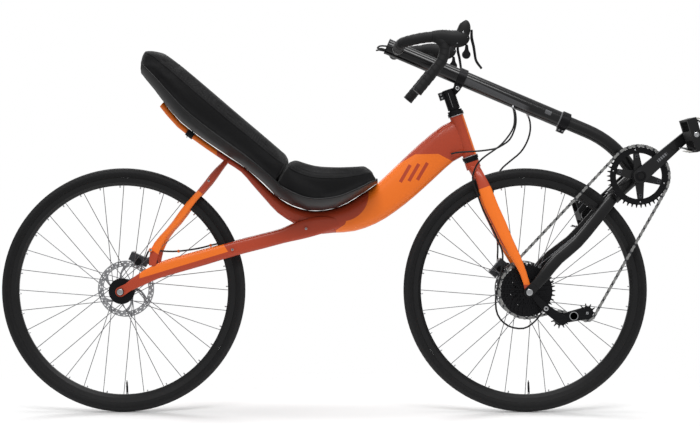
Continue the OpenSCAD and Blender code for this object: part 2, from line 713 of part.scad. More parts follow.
module boom_clamps() color(black) {
    for (s = clamp_rows) difference() {
        union() {
            on_boom(s - 11) cylinder(r = boom_r + clamp_t, h = 22);
            on_boom(s) translate([boom_r - 2, -12, -10]) cube([13, 24, 20]);
            if (s == 0) link(-15, 15, pivot, boom_mid, 9, 11);
        }
        on_boom(s - 40) cylinder(r = boom_r + 0.05, h = 80);
        on_boom(s) translate([boom_r - 8, -1, -30]) cube([30, 2, 60]);
        if (s == 0) y_plate(-8.1, 8.1) translate([pivot.x, pivot.z]) circle(14);
        if (s == 0) y_bar(pivot, 4, -20, 20);
    }
    y_bar(pivot, 3.9, -17, 17);
}

// The slider: straight inside the boom, then one bend down to the bottom bracket
slope_down = atan2(bend_at.z - crank_z, crank_x - bend_at.x);
slope_dir = [cos(slope_down), 0, -sin(slope_down)];
slider_back = 150;

slider_corner = [for (t = [0:0.125:1])
    let (a = bend_at - boom_dir * bend_back, b = bend_at + slope_dir * bend_back)
        (1 - t) * (1 - t) * a + 2 * t * (1 - t) * bend_at + t * t * b];

module boom_slider() color(black) difference() {
    swept([for (p = concat([boom_at(slider_back)], slider_corner, [crank_at]))
        [p.x, p.y, p.z, slider_d / 2, slider_d / 2]], [0, 1, 0], sides = 28);
    y_bar(crank_at, shell_r, -shell_w, shell_w);
}

module bracket_shell() color(black) difference() {
    union() {
        y_bar(crank_at, shell_r - 0.05, -shell_w / 2, shell_w / 2);
        y_bars(crank_at, shell_r + 1.5, shell_w / 2, shell_w / 2 + 5);
    }
    y_bar(crank_at, 12 + run_gap, -shell_w, shell_w);
}

yoke_dir = unit(yoke_at - crank_at);

// The short tube from the bottom bracket down to the drive stays, and the clamp at its end
module drive_yoke() color(black) difference() {
    union() {
        bar(crank_at, yoke_at, crown_r);
        bar(yoke_at - yoke_dir * 16, yoke_at + yoke_dir * 2, crown_r + 3);
    }
    y_bar(crank_at, shell_r, -shell_w, shell_w);
    bar(crank_at, bend_at, slider_d / 2 + seat_gap);
}

stay_end_y = fork_y + drop_t;
drive_rows = [
    [yoke_at.x + 2, -17, yoke_at.z + 2, 13, 8], [yoke_at.x - 14, -27, yoke_at.z - 16, 16, 8],
    [yoke_at.x - 55, -37, yoke_at.z - 66, 17, 8], [yoke_at.x - 110, -54, yoke_at.z - 128, 17, 8],
    [front_axle_x + 82, -stay_end_y + 8, axle_z + 92, 17, 8],
    [front_axle_x + 44, -stay_end_y - 2, axle_z + 48, 16, 7.5],
    [front_axle_x + 18, -stay_end_y - 5, axle_z + 18, 14, 5]];

module drive_stays() color(black) difference() {
    union() {
        both_sides() swept(smooth(drive_rows, 2), [1, 0, -1], power = 3);
        bar(yoke_at + yoke_dir * 2.1, yoke_at + yoke_dir * 12, crown_r);
        both_sides() link(-stay_end_y - 8, -stay_end_y, front_axle, front_axle + [26, 0, 28], 14, 13);
    }
    bar(yoke_at - yoke_dir * 60, yoke_at + yoke_dir * 2.1, 60);
    y_bar(front_axle, axle_d / 2, -130, 130);
    y_bar(front_axle, 18, -stay_end_y, stay_end_y);
}

module front_axle() color(black) {
    end_y = stay_end_y + 8;
    y_bar(front_axle, axle_d / 2 - 0.1, -end_y - 4, end_y + 4);
    y_bars(front_axle, 10, end_y + 0.1, end_y + 6);
}

// ---------------------------------------------------------------- handlebar

bar_at = boom_at(bar_back - boom_back);
// Right half of the taped bar: [x, y, z] from the bare middle to the end of the drop
drop_y = -bar_w / 2;
tape_rows = [
    [bar_at.x, -bar_bare / 2 - 1, bar_at.z], [bar_at.x - 1, drop_y + 64, bar_at.z],
    [bar_at.x + 6, drop_y + 24, bar_at.z + 5], [bar_at.x + 30, drop_y + 6, bar_at.z + 11],
    [bar_at.x + 62, drop_y + 2, bar_at.z + 17], [bar_at.x + 92, drop_y, bar_at.z + 18],
    [bar_at.x + 112, drop_y - 1, bar_at.z + 4], [bar_at.x + 117, drop_y - 2, bar_at.z - 19],
    [bar_at.x + 109, drop_y - 4, bar_at.z - 46], [bar_at.x + 90, drop_y - 5, bar_at.z - 71],
    [bar_at.x + 67, drop_y - 6, bar_at.z - 99], [bar_at.x + 42, drop_y - 8, bar_at.z - 129]];

module handlebar() color(black) y_bar(bar_at, bar_clamp_d / 2, -bar_bare / 2, bar_bare / 2);

// A lever hood: its body along the top of the bar, and the horn at its front
hood_rows = [
    [bar_at.x + 84, drop_y, bar_at.z + 20, 15, 15.5], [bar_at.x + 108, drop_y, bar_at.z + 20, 18.5, 16],
    [bar_at.x + 134, drop_y, bar_at.z + 15, 22, 17], [bar_at.x + 156, drop_y, bar_at.z + 14, 23, 17],
    [bar_at.x + 173, drop_y, bar_at.z + 18, 18, 15], [bar_at.x + 182.3, drop_y, bar_at.z + 21, 8, 9]];
horn_rows = [
    [bar_at.x + 160, drop_y, bar_at.z + 16, 19, 14], [bar_at.x + 168, drop_y, bar_at.z + 34, 18, 14],
    [bar_at.x + 171, drop_y, bar_at.z + 48, 16, 13], [bar_at.x + 170.5, drop_y, bar_at.z + 58, 12, 10],
    [bar_at.x + 169, drop_y, bar_at.z + 62, 6, 5]];
lever_rows = [
    [bar_at.x + 190, drop_y, bar_at.z + 38, 3, 6], [bar_at.x + 190, drop_y, bar_at.z + 16, 4, 6],
    [bar_at.x + 195, drop_y - 1, bar_at.z - 6, 3.8, 7], [bar_at.x + 198, drop_y - 2, bar_at.z - 26, 3.6, 8],
    [bar_at.x + 202, drop_y - 3, bar_at.z - 46, 3.2, 8],
    [bar_at.x + 216, drop_y - 6, bar_at.z - 66, 2.6, 8]];

module taped_bar(extra = 0) {
    swept([for (p = smooth(tape_rows, 3)) [p.x, p.y, p.z, tape_d / 2 + extra, tape_d / 2 + extra]],
        [1, 0, 1.2], sides = 12);
}

module bar_tape() color(tar) both_sides() taped_bar();

module lever_hoods() color(tar) both_sides() difference() {
    union() {
        swept(smooth(hood_rows, 3), [0, 0, 1], sides = 14, power = 2.5);
        swept(smooth(horn_rows, 3), [1, 0, 0], sides = 14, power = 2.3);
    }
    taped_bar(0.1);
    swept(smooth([for (r = lever_rows) [r.x, r.y, r.z, r[3] + seat_gap, r[4] + seat_gap]], 3),
        [1, 0, 0.2], sides = 10, power = 2.6);
}

// The brake blades, and the gear paddles behind them
module brake_levers() color(black) both_sides() {
    swept(smooth(lever_rows, 3), [1, 0, 0.2], sides = 10, power = 2.6);
    link(drop_y + 3, drop_y + 7, bar_at + [176, 0, -28], bar_at + [177, 0, -14], 11.5, 5);
    link(drop_y + 3, drop_y + 7, bar_at + [177, 0, -14], bar_at + [177, 0, -4.8], 5, 4);
}

// ---------------------------------------------------------------- derailleur

cage_y = [-cassette_y - 6.2, -cassette_y + 4.2];
body_at = front_axle + [48, 0, -46];

module derailleur() color(black) {
    for (y = cage_y) difference() {
        link(y, y + 2, guide_at, tension_at, 13, 17);
        y_bar((guide_at + tension_at) / 2, 10, y - 1, y + 3);
    }
    for (at = [guide_at, tension_at]) y_bar(at, 4, cage_y[0] + 1, cage_y[1] + 1);
    y_bar(guide_at, 15, cage_y[0] - 22, cage_y[0] - 0.05);
    link(-fork_y + 0.5, cage_y[0] - 14, body_at, guide_at, 11, 14);
    link(-fork_y - 6, -fork_y, front_axle + [16, 0, -12], body_at, 7.7, 11);
    y_bar(body_at, 8, -fork_y - 1, -fork_y + 1);
}

// ---------------------------------------------------------------- crankset

crank_q = 41;
arm_in_y = 60;
arm_t = 13;
pedal_at = crank_at + crank_len * [cos(crank_q), 0, sin(crank_q)];
left_pedal_at = crank_at - crank_len * [cos(crank_q), 0, sin(crank_q)];

module crank_spindle() color(black) difference() {
    y_bar(crank_at, 12, -arm_in_y - arm_t - 1, arm_in_y + arm_t + 1);
    y_bar(crank_at, 9, -100, 100);
}

module crank_arm(pedal, s) {
    y0 = s > 0 ? arm_in_y : -arm_in_y - arm_t;
    difference() {
        link(y0, y0 + arm_t, crank_at, pedal, 20, 14);
        y_bar(crank_at, 12.05, -120, 120);
        y_bar(pedal, 7, -120, 120);
    }
}

spider_bolt_r = 55;
spider_in_y = ring_y + 1.7;
spider_angles = [-128, -57, 57, 128];
module right_crank() color(tar) {
    crank_arm(pedal_at, -1);
    difference() {
        union() {
            y_bar(crank_at, 22, -arm_in_y - 2, -spider_in_y);
            for (q = spider_angles) y_plate(-spider_in_y - 6, -spider_in_y)
                translate([crank_at.x, crank_at.z]) rotate(crank_q + q)
                    polygon([[10, -13], [spider_bolt_r + 9, -8], [spider_bolt_r + 9, 8], [10, 13]]);
        }
        y_bar(crank_at, 12.05, -120, 120);
    }
}

module left_crank() color(tar) crank_arm(left_pedal_at, 1);

module chainring() color(tar) difference() {
    union() {
        y_plate(-ring_y - tooth_t / 2, -ring_y + tooth_t / 2)
            translate([crank_at.x, crank_at.z]) toothed_2d(ring_teeth);
        y_plate(-ring_y - 1.6, -ring_y + 1.6)
            translate([crank_at.x, crank_at.z]) circle(pitch_r(ring_teeth) - 6);
    }
    y_plate(-ring_y - 9, -ring_y + 9) translate([crank_at.x, crank_at.z]) circle(pitch_r(ring_teeth) - 21);
}

// ---------------------------------------------------------------- pedals

pedal_l = 92;
pedal_w = 96;
pedal_t = 26;
pedal_lean = 17;
pedal_in_y = arm_in_y + arm_t + 14;

module pedal(at, s) translate(at) rotate([0, 90 - pedal_lean, 0]) mirror([0, s > 0 ? 0 : 1, 0]) {
    difference() {
        translate([-pedal_l / 2, pedal_in_y, -pedal_t / 2]) cube([pedal_l, pedal_w, pedal_t]);
        for (x = [-1, 1]) translate([x * (pedal_l / 4 + 4) - 14, pedal_in_y + 10, -pedal_t])
            cube([28, pedal_w - 20, 2 * pedal_t]);
    }
    rotate([-90, 0, 0]) translate([0, 0, arm_in_y + 1]) cylinder(r = 6.8, h = pedal_in_y - arm_in_y - 1);
}

module right_pedal() color(black) pedal(pedal_at, -1);
module left_pedal() color(black) pedal(left_pedal_at, 1);

// ---------------------------------------------------------------- hoses and cable

rear_hose_points = [
    [-312, 43, -204], [-334, 44, -209], [-356, 46, -214], [-392, 47, -223], [-448, 50, -231],
    [-491, 53, -231],
    [-520, 53.5, -227], [-533, 53, -231], [-539, 52.5, -242], [-541.8, 52, -248.5]];
steering_hose_points = [
    [500.5, -8, 173], [504.5, -12, 158], [505, -17, 134], [499, -22, 110], [485, -26, 84], [461, -29, 67],
    [442, -31, 59], [405, -32, 53.5], [368, -31, 51], [340, -28.5, 49], [322, -25.5, 45]];
gear_cable_points = [
    [497, -14, 176], [500, -20, 158], [500, -26, 140], [496, -31, 119], [482, -36, 95], [460, -40, 70],
    [436, -43, 52], [417, -44, 39], [402, -44, 26], [391, -42, 11], [384, -40, -7], [381.5, -38, -22],
    [385, -37, -42], [394, -39, -66], [408, -44, -106], [430, -50, -152], [450, -57, -196],
    [462, -68, -236],
    [454, -80, -296], [441, -84, -350], [446, -82, -400], [476, -76, -432], [520, -66, -440],
    [552, -61, -421],
    [574.1, -60, -393.3]];
front_hose_points = [
    [541.5, 6, 155], [548, 10, 136], [549, 14, 110], [541, 20, 80], [523, 27, 50], [492, 34, 23],
    [468, 42, -1],
    [452, 50, -40], [447, 55, -80], [449, 59, -120], [457, 63, -160], [462, 66, -196], [463, 62, -226],
    [461.5, 57, -248], [462.4, 55.5, -259.3]];
bar_hose_points = [
    [156.2, 84, 339], [140, 80, 342], [123, 66, 344], [116, 46, 341], [119, 26, 340], [131, 12, 340.5],
    [145, 10, 334.6]];

module rear_brake_hose() color(black) cord(rear_hose_points, cable_d);
module steering_hose() color(black) cord(steering_hose_points, cable_d);

// The gear cable, the front brake's hose and the two loops behind the bar
module front_hoses() color(black) {
    cord(gear_cable_points, cable_d);
    cord(front_hose_points, cable_d);
    both_sides() cord(bar_hose_points, cable_d);
}

main_frame();
head_tube();
headset_cups();
chain_stays();
seat_stays();
seat_shell();
back_cushion();
base_cushion();
seat_strap();
rear_axle();
rear_caliper();
rear_brake_hose();
rear_tyre();
rear_rim();
rear_spokes();
rear_hub();
rear_disc();
fork();
steerer();
boom_mount();
boom_tube();
boom_clamps();
boom_slider();
bracket_shell();
drive_yoke();
drive_stays();
front_axle();
handlebar();
bar_tape();
lever_hoods();
brake_levers();
front_caliper();
derailleur();
pulleys();
chain();
front_hoses();
steering_hose();
front_tyre();
front_rim();
front_spokes();
front_hub();
front_disc();
cassette();
crank_spindle();
right_crank();
chainring();
left_crank();
right_pedal();
left_pedal();
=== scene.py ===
"""Looks of the recumbent bicycle, in the CAD model's frame. Lengths are in mm until a mesh is made."""
import json
import math

import bmesh
import bpy
import numpy as np
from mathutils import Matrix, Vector
from mathutils.bvhtree import BVHTree

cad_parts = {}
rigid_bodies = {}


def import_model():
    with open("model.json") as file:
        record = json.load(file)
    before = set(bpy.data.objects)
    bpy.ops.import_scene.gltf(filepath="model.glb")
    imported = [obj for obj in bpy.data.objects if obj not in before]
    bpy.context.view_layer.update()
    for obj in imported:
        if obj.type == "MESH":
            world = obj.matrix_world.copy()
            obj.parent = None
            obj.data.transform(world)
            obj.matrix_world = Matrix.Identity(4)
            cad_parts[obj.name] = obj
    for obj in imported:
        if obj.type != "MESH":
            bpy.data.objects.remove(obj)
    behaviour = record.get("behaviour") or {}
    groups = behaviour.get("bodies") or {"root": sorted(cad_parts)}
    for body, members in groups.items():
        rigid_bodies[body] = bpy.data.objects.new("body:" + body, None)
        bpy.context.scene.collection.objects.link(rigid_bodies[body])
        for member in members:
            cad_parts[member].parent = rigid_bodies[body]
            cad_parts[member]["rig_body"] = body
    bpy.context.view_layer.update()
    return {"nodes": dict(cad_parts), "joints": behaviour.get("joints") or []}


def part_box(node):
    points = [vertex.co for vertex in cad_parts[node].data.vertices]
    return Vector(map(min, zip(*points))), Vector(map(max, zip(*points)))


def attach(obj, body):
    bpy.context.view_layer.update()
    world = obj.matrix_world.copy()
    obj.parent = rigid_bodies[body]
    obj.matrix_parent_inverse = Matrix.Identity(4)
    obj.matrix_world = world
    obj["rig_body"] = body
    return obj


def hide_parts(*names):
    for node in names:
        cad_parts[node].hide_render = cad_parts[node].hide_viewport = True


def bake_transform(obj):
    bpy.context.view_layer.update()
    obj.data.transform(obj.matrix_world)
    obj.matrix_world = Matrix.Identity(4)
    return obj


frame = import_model()

MM = 0.001
scene = bpy.context.scene


# ---------------------------------------------------------------- camera

def make_camera():
    """A camera level with the seat, square to the bicycle's right side."""
    lens = bpy.data.cameras.new("studio_camera")
    lens.sensor_width = 36
    lens.lens = 80.3
    lens.shift_x = 0.0429
    lens.shift_y = -0.0521
    lens.clip_end = 200
    camera = bpy.data.objects.new("studio_camera", lens)
    camera.location = (-0.0451, -4.4, -0.0282)
    camera.rotation_euler = (math.pi / 2, 0, 0)
    scene.collection.objects.link(camera)
    scene.camera = camera


make_camera()

# ---------------------------------------------------------------- places

joints = {j["name"]: j for j in frame["joints"]}


def joint_at(name):
    return np.array(joints[name]["pos_m"]) / MM


front_axle = joint_at("front_wheel_spin")
rear_axle = joint_at("rear_wheel_spin")
crank = joint_at("crank_spin")
head = joint_at("steer")
right_pedal_at = joint_at("right_pedal_spin")
left_pedal_at = joint_at("left_pedal_spin")
steer_up = np.array(joints["steer"]["axis"])
steer_fore = np.array([steer_up[2], 0, -steer_up[0]])
floor_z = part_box("rear_tyre")[0].z / MM

head_len = 120
cup_h, collar_gap, collar_up = 16, 2.5, 57
collar_top = head_len / 2 + cup_h + collar_gap + collar_up
boom_r = 22.5
boom_slope = math.radians(23)
boom_dir = np.array([math.cos(boom_slope), 0, -math.sin(boom_slope)])
boom_up = np.array([math.sin(boom_slope), 0, math.cos(boom_slope)])


def steer_at(up, fore=0.0):
    return head + steer_up * up + steer_fore * fore


pivot = steer_at(collar_top - 3, 26)
boom_mid = pivot + boom_up * (boom_r + 10)


def boom_at(along, up=0.0, side=0.0):
    return boom_mid + boom_dir * along + boom_up * up + np.array([0, side, 0])


boom_mouth = -227
bar_at = boom_at(boom_mouth + 30)
bar_half = 210
crank_angle = math.radians(41)
rear_disc_y, front_disc_y = 52, 55.5
bead_r, bead_wall, rim_h = 311, 5, 22
rim_in_r = bead_r + bead_wall - rim_h
guide_at = front_axle + [94, 0, -79]
tension_at = front_axle + [169, 0, -62]
RIGHT = np.array([0, -1.0, 0])
ALONG_Y = np.array([0, 1.0, 0])


def outward(angle):
    """The direction at an angle from +X towards +Z."""
    return np.array([math.cos(angle), 0, math.sin(angle)])



# ---------------------------------------------------------------- shader maths

class Wire:
    """A socket that carries a number; arithmetic on it adds Math nodes."""

    def __init__(self, finish, socket):
        self.finish = finish
        self.socket = socket

    def _math(self, operation, *values, clamp=False):
        return self.finish.node("Math", {"operation": operation, "use_clamp": clamp}, dict(enumerate(values)))

    def __rsub__(self, other):
        return self._math("SUBTRACT", other, self)

    def step(self, width=0.0008):
        """0 below zero and 1 above it, with a soft edge of that width in metres."""
        return self._math("ADD", self / width, 0.5, clamp=True)

    def between(self, low, high, width=0.0008):
        return (self - low).step(width) * (high - self).step(width)


def math_method(operation):
    """A method of Wire that adds one Math node."""
    return lambda self, *others: self._math(operation, self, *others)


for method_name, operation_name in {
        "__add__": "ADD", "__radd__": "ADD", "__sub__": "SUBTRACT", "__mul__": "MULTIPLY",
        "__rmul__": "MULTIPLY", "__truediv__": "DIVIDE", "__pow__": "POWER", "abs": "ABSOLUTE",
        "sine": "SINE", "arctan2": "ARCTAN2", "fract": "FRACT", "least": "MINIMUM",
        "most": "MAXIMUM"}.items():
    setattr(Wire, method_name, math_method(operation_name))


class Finish:
    """One procedural material. Numbers that don't vary are set on the shader's own sockets."""

    def __init__(self, name, **shader):
        self.material = bpy.data.materials.new(name)
        self.material.use_nodes = True
        self.tree = self.material.node_tree
        self.tree.nodes.clear()
        self.shader = self.tree.nodes.new("ShaderNodeBsdfPrincipled")
        output = self.tree.nodes.new("ShaderNodeOutputMaterial")
        self.tree.links.new(self.shader.outputs[0], output.inputs[0])
        self.set(**shader)

    def set(self, **values):
        """Sets shader sockets; base_color stands for Base Color and so on."""
        for key, value in values.items():
            self.fill(self.shader.inputs[key.replace("_", " ").title().replace("Ior", "IOR")], value)

    def fill(self, socket, value):
        if isinstance(value, Wire):
            self.tree.links.new(value.socket, socket)
        elif isinstance(value, tuple) and len(value) == 3 and len(socket.default_value) == 4:
            socket.default_value = (*value, 1)
        else:
            socket.default_value = value

    def node(self, kind, settings, inputs, out=0):
        """Adds a node: its settings first, then its sockets by name or number."""
        node = self.tree.nodes.new("ShaderNode" + kind)
        for key, value in settings.items():
            setattr(node, key, value)
        for key, value in inputs.items():
            named = [s for s in node.inputs if s.identifier == key or s.name == key]
            self.fill(node.inputs[key] if isinstance(key, int) else named[0], value)
        return Wire(self, node.outputs[out])

    def place(self):
        """The point on the object, and its three numbers in metres."""
        point = self.node("TexCoord", {}, {}, out=3)
        split = self.node("SeparateXYZ", {}, {0: point})
        return point, [Wire(self, s) for s in split.socket.node.outputs]

    def noise(self, point, scale, detail=3.0, rough=0.55):
        inputs = {"Vector": point, "Scale": scale, "Detail": detail, "Roughness": rough}
        return self.node("TexNoise", {}, inputs)

    def cells(self, point, scale, feature="F1"):
        return self.node("TexVoronoi", {"feature": feature}, {"Vector": point, "Scale": scale})

    def mix(self, share, first, second):
        """A colour between two colours."""
        inputs = {"Factor_Float": share, "A_Color": first, "B_Color": second}
        return self.node("Mix", {"data_type": "RGBA"}, inputs, out=2)

    def stretched(self, point, scale):
        return self.node("Mapping", {}, {"Vector": point, "Scale": scale})

    def bump(self, height, distance, strength=1.0):
        inputs = {"Strength": strength, "Distance": distance, "Height": height}
        self.set(normal=self.node("Bump", {}, inputs))


def srgb(*colour):
    """A colour given as 0 to 255 on screen, as the shader wants it."""
    return tuple(((c / 255 + 0.055) / 1.055) ** 2.4 if c > 10 else c / 255 / 12.92 for c in colour)


def lighter(colour, times, plus):
    """A colour lightened, or darkened where times is under 1."""
    return tuple(min(1.0, c * times + plus) for c in colour)


orange = srgb(252, 120, 30)
rust = srgb(190, 72, 42)
dark_rust = srgb(140, 46, 34)


# ---------------------------------------------------------------- painted finishes

def painted(name, pattern):
    """Satin two-tone paint: pattern(x, z) says where it is orange; the rest is rust-red."""
    finish = Finish(name, coat_weight=0.2, coat_roughness=0.15, specular_ior_level=0.3)
    point, (x, y, z) = finish.place()
    flakes = finish.noise(point, 900, 1)
    cloud = finish.noise(point, 7, 2)
    shade = finish.mix(cloud, dark_rust, rust)
    warm = finish.mix(0.72, shade, rust)
    lively = finish.mix(cloud * 0.25, orange, srgb(255, 140, 48))
    base = finish.mix(pattern(x, z), warm, lively)
    finish.set(base_color=base, roughness=cloud * 0.1 + 0.3)
    finish.bump(flakes, 0.00002, 0.25)
    return finish.material


def beyond(x, z, start, end):
    """How far a point lies to the left of a line, in metres. The line's two ends are in millimetres."""
    run = np.array(end, float) - np.array(start, float)
    across = np.array([-run[1], run[0]]) / np.linalg.norm(run)
    return x * float(across[0]) + z * float(across[1]) - float(across @ start) * MM


def bar_mask(x, z, start, end, width):
    """A straight painted bar between two points."""
    run = np.array(end, float) - np.array(start, float)
    length = np.linalg.norm(run)
    normal = np.array([-run[1], run[0]]) / length
    start, end, normal = np.array(start, float), np.array(end, float), normal * width / 2
    side_a = beyond(x, z, start - normal, end - normal).step()
    side_b = beyond(x, z, end + normal, start + normal).step()
    foot = beyond(x, z, start + normal, start - normal).step()
    tip = beyond(x, z, end - normal, end + normal).step()
    return side_a * side_b * (foot * tip)


def round_patch(x, z, centre, radius):
    """Inside a circle in the side view, positive inside, in metres."""
    dx, dz = x - centre[0] * MM, z - centre[1] * MM
    return radius * MM - (dx * dx + dz * dz) ** 0.5


def frame_pattern(x, z):
    """An orange panel on the down tube with three slanted bars in it, and the rail's orange rear half."""
    belly = round_patch(x, z, (15, -68), 76)
    tail = beyond(x, z, (25, -152), (62, -127)).least(beyond(x, z, (17, -174), (25, -152)))
    collar = beyond(x, z, (222, 44), (168, 12)).least(beyond(x, z, (290, 45), (222, 44)))
    collar = collar.least(beyond(x, z, (324, 26), (287, 45)))
    panel = (0 - belly.most(tail)).step() * collar.step() * x.step()
    bars = [bar_mask(x, z, (180 + k * 24, -34 + k * 3), (208 + k * 24, 14 + k * 3), 9.5) for k in range(3)]
    panel = panel * (1 - bars[0].most(bars[1]).most(bars[2]))
    return panel.most((-0.335 - x).step())


def head_pattern(x, z):
    """A stripe down the front edge of the head tube."""
    along = (x - head[0] * MM) * float(steer_fore[0]) + (z - head[2] * MM) * float(steer_fore[2])
    return (along - 0.0135).step()


def chain_stay_pattern(x, z):
    """An orange band along the top of the rear half."""
    band = beyond(x, z, (-520, -290), (-285, -220)) + 0.003
    end = beyond(x, z, (-300, -230), (-316, -205))
    return band.step() * end.step() * (x + 0.545).step(0.002)


def seat_stay_pattern(x, z):
    """Orange between the rust-red upper third and the foot."""
    top = beyond(x, z, (-380, -62), (-352, -84))
    foot = (x + 0.5) * 0.6 + (z + 0.23) * 0.8
    edge = beyond(x, z, (-500, -200), (-348, -14))
    return (0 - top).step() * foot.step() * (0.006 - edge).step()


def fork_pattern(x, z):
    """Orange blades between a rust-red crown and rust-red tips."""
    crown = beyond(x, z, (395, -56), (455, -34))
    front_edge = beyond(x, z, (410, -95), (520, -318))
    return (0 - crown).step() * (z + 0.318).step() * front_edge.step()


# ---------------------------------------------------------------- other finishes

def lacquered(name, pattern=None, rough=0.16, coat=0.35):
    """Deep black lacquer, with a grey pattern where one is given."""
    finish = Finish(name, coat_weight=coat, coat_roughness=0.08, specular_ior_level=0.3)
    point, (x, y, z) = finish.place()
    cloud = finish.noise(point, 14, 2)
    base = finish.mix(cloud, srgb(10, 10, 11), srgb(18, 18, 20))
    if pattern:
        base = finish.mix(pattern(x, y, z), base, srgb(120, 121, 124))
    finish.set(base_color=base, roughness=cloud * 0.12 + rough)
    finish.bump(finish.noise(point, 260, 2), 0.00002, 0.3)
    return finish.material


def anodised(name, colour, rough=0.38):
    """Bead-blasted and anodised alloy, with a fine grain and handling marks."""
    finish = Finish(name, metallic=0.85)
    point, _ = finish.place()
    grain = finish.noise(point, 1400, 2)
    marks = finish.noise(finish.stretched(point, (40, 40, 400)), 1, 4)
    pale = lighter(colour, 1.7, 0.01)
    finish.set(base_color=finish.mix(marks, colour, pale), roughness=grain * 0.12 + rough - marks * 0.08)
    finish.bump(grain, 0.00003, 0.35)
    return finish.material


def bright_metal(name, colour, rough=0.25, around=None):
    """Bare steel or alloy; around gives the middle of a disc that was ground in circles."""
    finish = Finish(name, metallic=1.0)
    point, (x, y, z) = finish.place()
    if around is None:
        streaks = finish.noise(finish.stretched(point, (60, 500, 60)), 1, 3)
    else:
        dx, dz = x - around[0] * MM, z - around[2] * MM
        radius = (dx * dx + dz * dz) ** 0.5
        streaks = (radius * 9000 + finish.noise(point, 60, 2) * 4).sine() * 0.5 + 0.5
    dull = lighter(colour, 0.72, 0)
    finish.set(base_color=finish.mix(streaks, dull, colour), roughness=streaks * 0.16 + rough)
    finish.bump(streaks, 0.00002, 0.3)
    return finish.material


def tread(name, axle):
    """Tyre rubber: fine grooves across the tread, a plain shoulder, and a ribbed line on the sidewall."""
    finish = Finish(name, specular_ior_level=0.2)
    point, (x, y, z) = finish.place()
    dx, dz = x - axle[0] * MM, z - axle[2] * MM
    radius = (dx * dx + dz * dz) ** 0.5
    turn = dz.arctan2(dx)
    on_tread = (radius - 0.331).step(0.003)
    slant = (turn * 150 + y.abs() * 900).sine()
    grooves = (slant * 4).most(-1).least(1)
    ribs = (y * 2400).sine()
    sides = (radius * 5200).sine() * radius.between(0.3225, 0.3275, 0.001)
    dust = finish.noise(point, 60, 4)
    height = on_tread * (grooves * 0.5 + ribs * 0.25) + sides * 0.3 + finish.noise(point, 900, 2) * 0.12
    worn = finish.mix(dust, srgb(17, 17, 18), srgb(30, 30, 31))
    finish.set(base_color=finish.mix(on_tread * 0.5, worn, srgb(38, 38, 39)), roughness=dust * 0.2 + 0.55)
    finish.bump(height, 0.0005, 0.7)
    return finish.material


def moulded(name, colour, rough=0.5, dimple=700.0, depth=0.00012):
    """Moulded rubber or plastic with a fine texture."""
    finish = Finish(name, specular_ior_level=0.25)
    point, _ = finish.place()
    cells = finish.cells(point, dimple)
    cloud = finish.noise(point, 25, 3)
    pale = lighter(colour, 1.6, 0.004)
    finish.set(base_color=finish.mix(cloud, colour, pale), roughness=cloud * 0.15 + rough)
    finish.bump(cells, depth, 0.5)
    return finish.material


def perforated_tape(name):
    """Bar tape: a soft skin with small holes in rows, greyer where hands rub it."""
    finish = Finish(name, sheen_weight=0.06, sheen_roughness=0.5, specular_ior_level=0.25)
    point, _ = finish.place()
    holes = finish.cells(point, 420)
    rub = finish.noise(point, 18, 3)
    base = finish.mix(rub, srgb(15, 15, 16), srgb(30, 30, 31))
    finish.set(base_color=base, roughness=rub * 0.2 + 0.55)
    finish.bump(holes.least(0.45), 0.0003, 0.6)
    return finish.material


def woven(name, colour, scale, depth):
    """A plain weave of two sets of threads, with light worn patches."""
    finish = Finish(name, sheen_weight=0.12, sheen_roughness=0.4, specular_ior_level=0.15)
    point, (x, y, z) = finish.place()
    warp = ((x + z) * scale).sine()
    weft = (y * scale * 1.3).sine()
    over = (warp * weft * 3).most(-1).least(1)
    threads = warp.abs() * 0.5 + weft.abs() * 0.5 + over * 0.35
    wear = finish.noise(point, 9, 4)
    worn = finish.mix(wear * 0.7 + over * 0.1, colour, lighter(colour, 1.9, 0.003))
    finish.set(base_color=worn, roughness=wear * 0.15 + 0.72)
    finish.bump(threads, depth, 0.8)
    return finish.material


def plain_glossy(name, colour, rough=0.3):
    """Small glossy plastic parts, reflectors and painted marks."""
    finish = Finish(name, coat_weight=0.3, coat_roughness=0.1)
    point, _ = finish.place()
    facets = finish.cells(point, 350)
    finish.set(base_color=finish.mix(facets, colour, lighter(colour, 0.7, 0)), roughness=facets * 0.1 + rough)
    finish.bump(facets, 0.0001, 0.4)
    return finish.material


def swoosh(x, _, z):
    """On the boom: a faint grey wedge along its lower half, two rings and a row of dashes near its front."""
    along = (x - boom_mid[0] * MM) * float(boom_dir[0]) + (z - boom_mid[2] * MM) * float(boom_dir[2])
    up = (x - boom_mid[0] * MM) * float(boom_up[0]) + (z - boom_mid[2] * MM) * float(boom_up[2])
    wedge = (0.004 - along * 0.03 - up).step(0.0015) * (up + 0.012 + along * 0.02).step(0.0015)
    rings = along.between(0.2975, 0.299).most(along.between(0.2995, 0.3007))
    dashes = ((along * 700).fract() - 0.4).step(0.05)
    bars = along.between(0.252, 0.27).least(up.between(-0.002, 0.010)) * dashes
    return (wedge * along.between(0.0, 0.2, 0.02) * 0.35).most(rings * 0.9).most(bars * 0.85)


def crank_marks(x, y, z):
    """Small silver dashes on the crank's outer face."""
    cos, sin = math.cos(crank_angle), math.sin(crank_angle)
    along = (x - crank[0] * MM) * cos + (z - crank[2] * MM) * sin
    up = (z - crank[2] * MM) * cos - (x - crank[0] * MM) * sin
    dashes = ((along * 140).fract() - 0.35).step(0.03) * along.between(0.062, 0.096)
    return dashes * up.between(-0.004, 0.004) * (-0.0715 - y).step(0.0005)


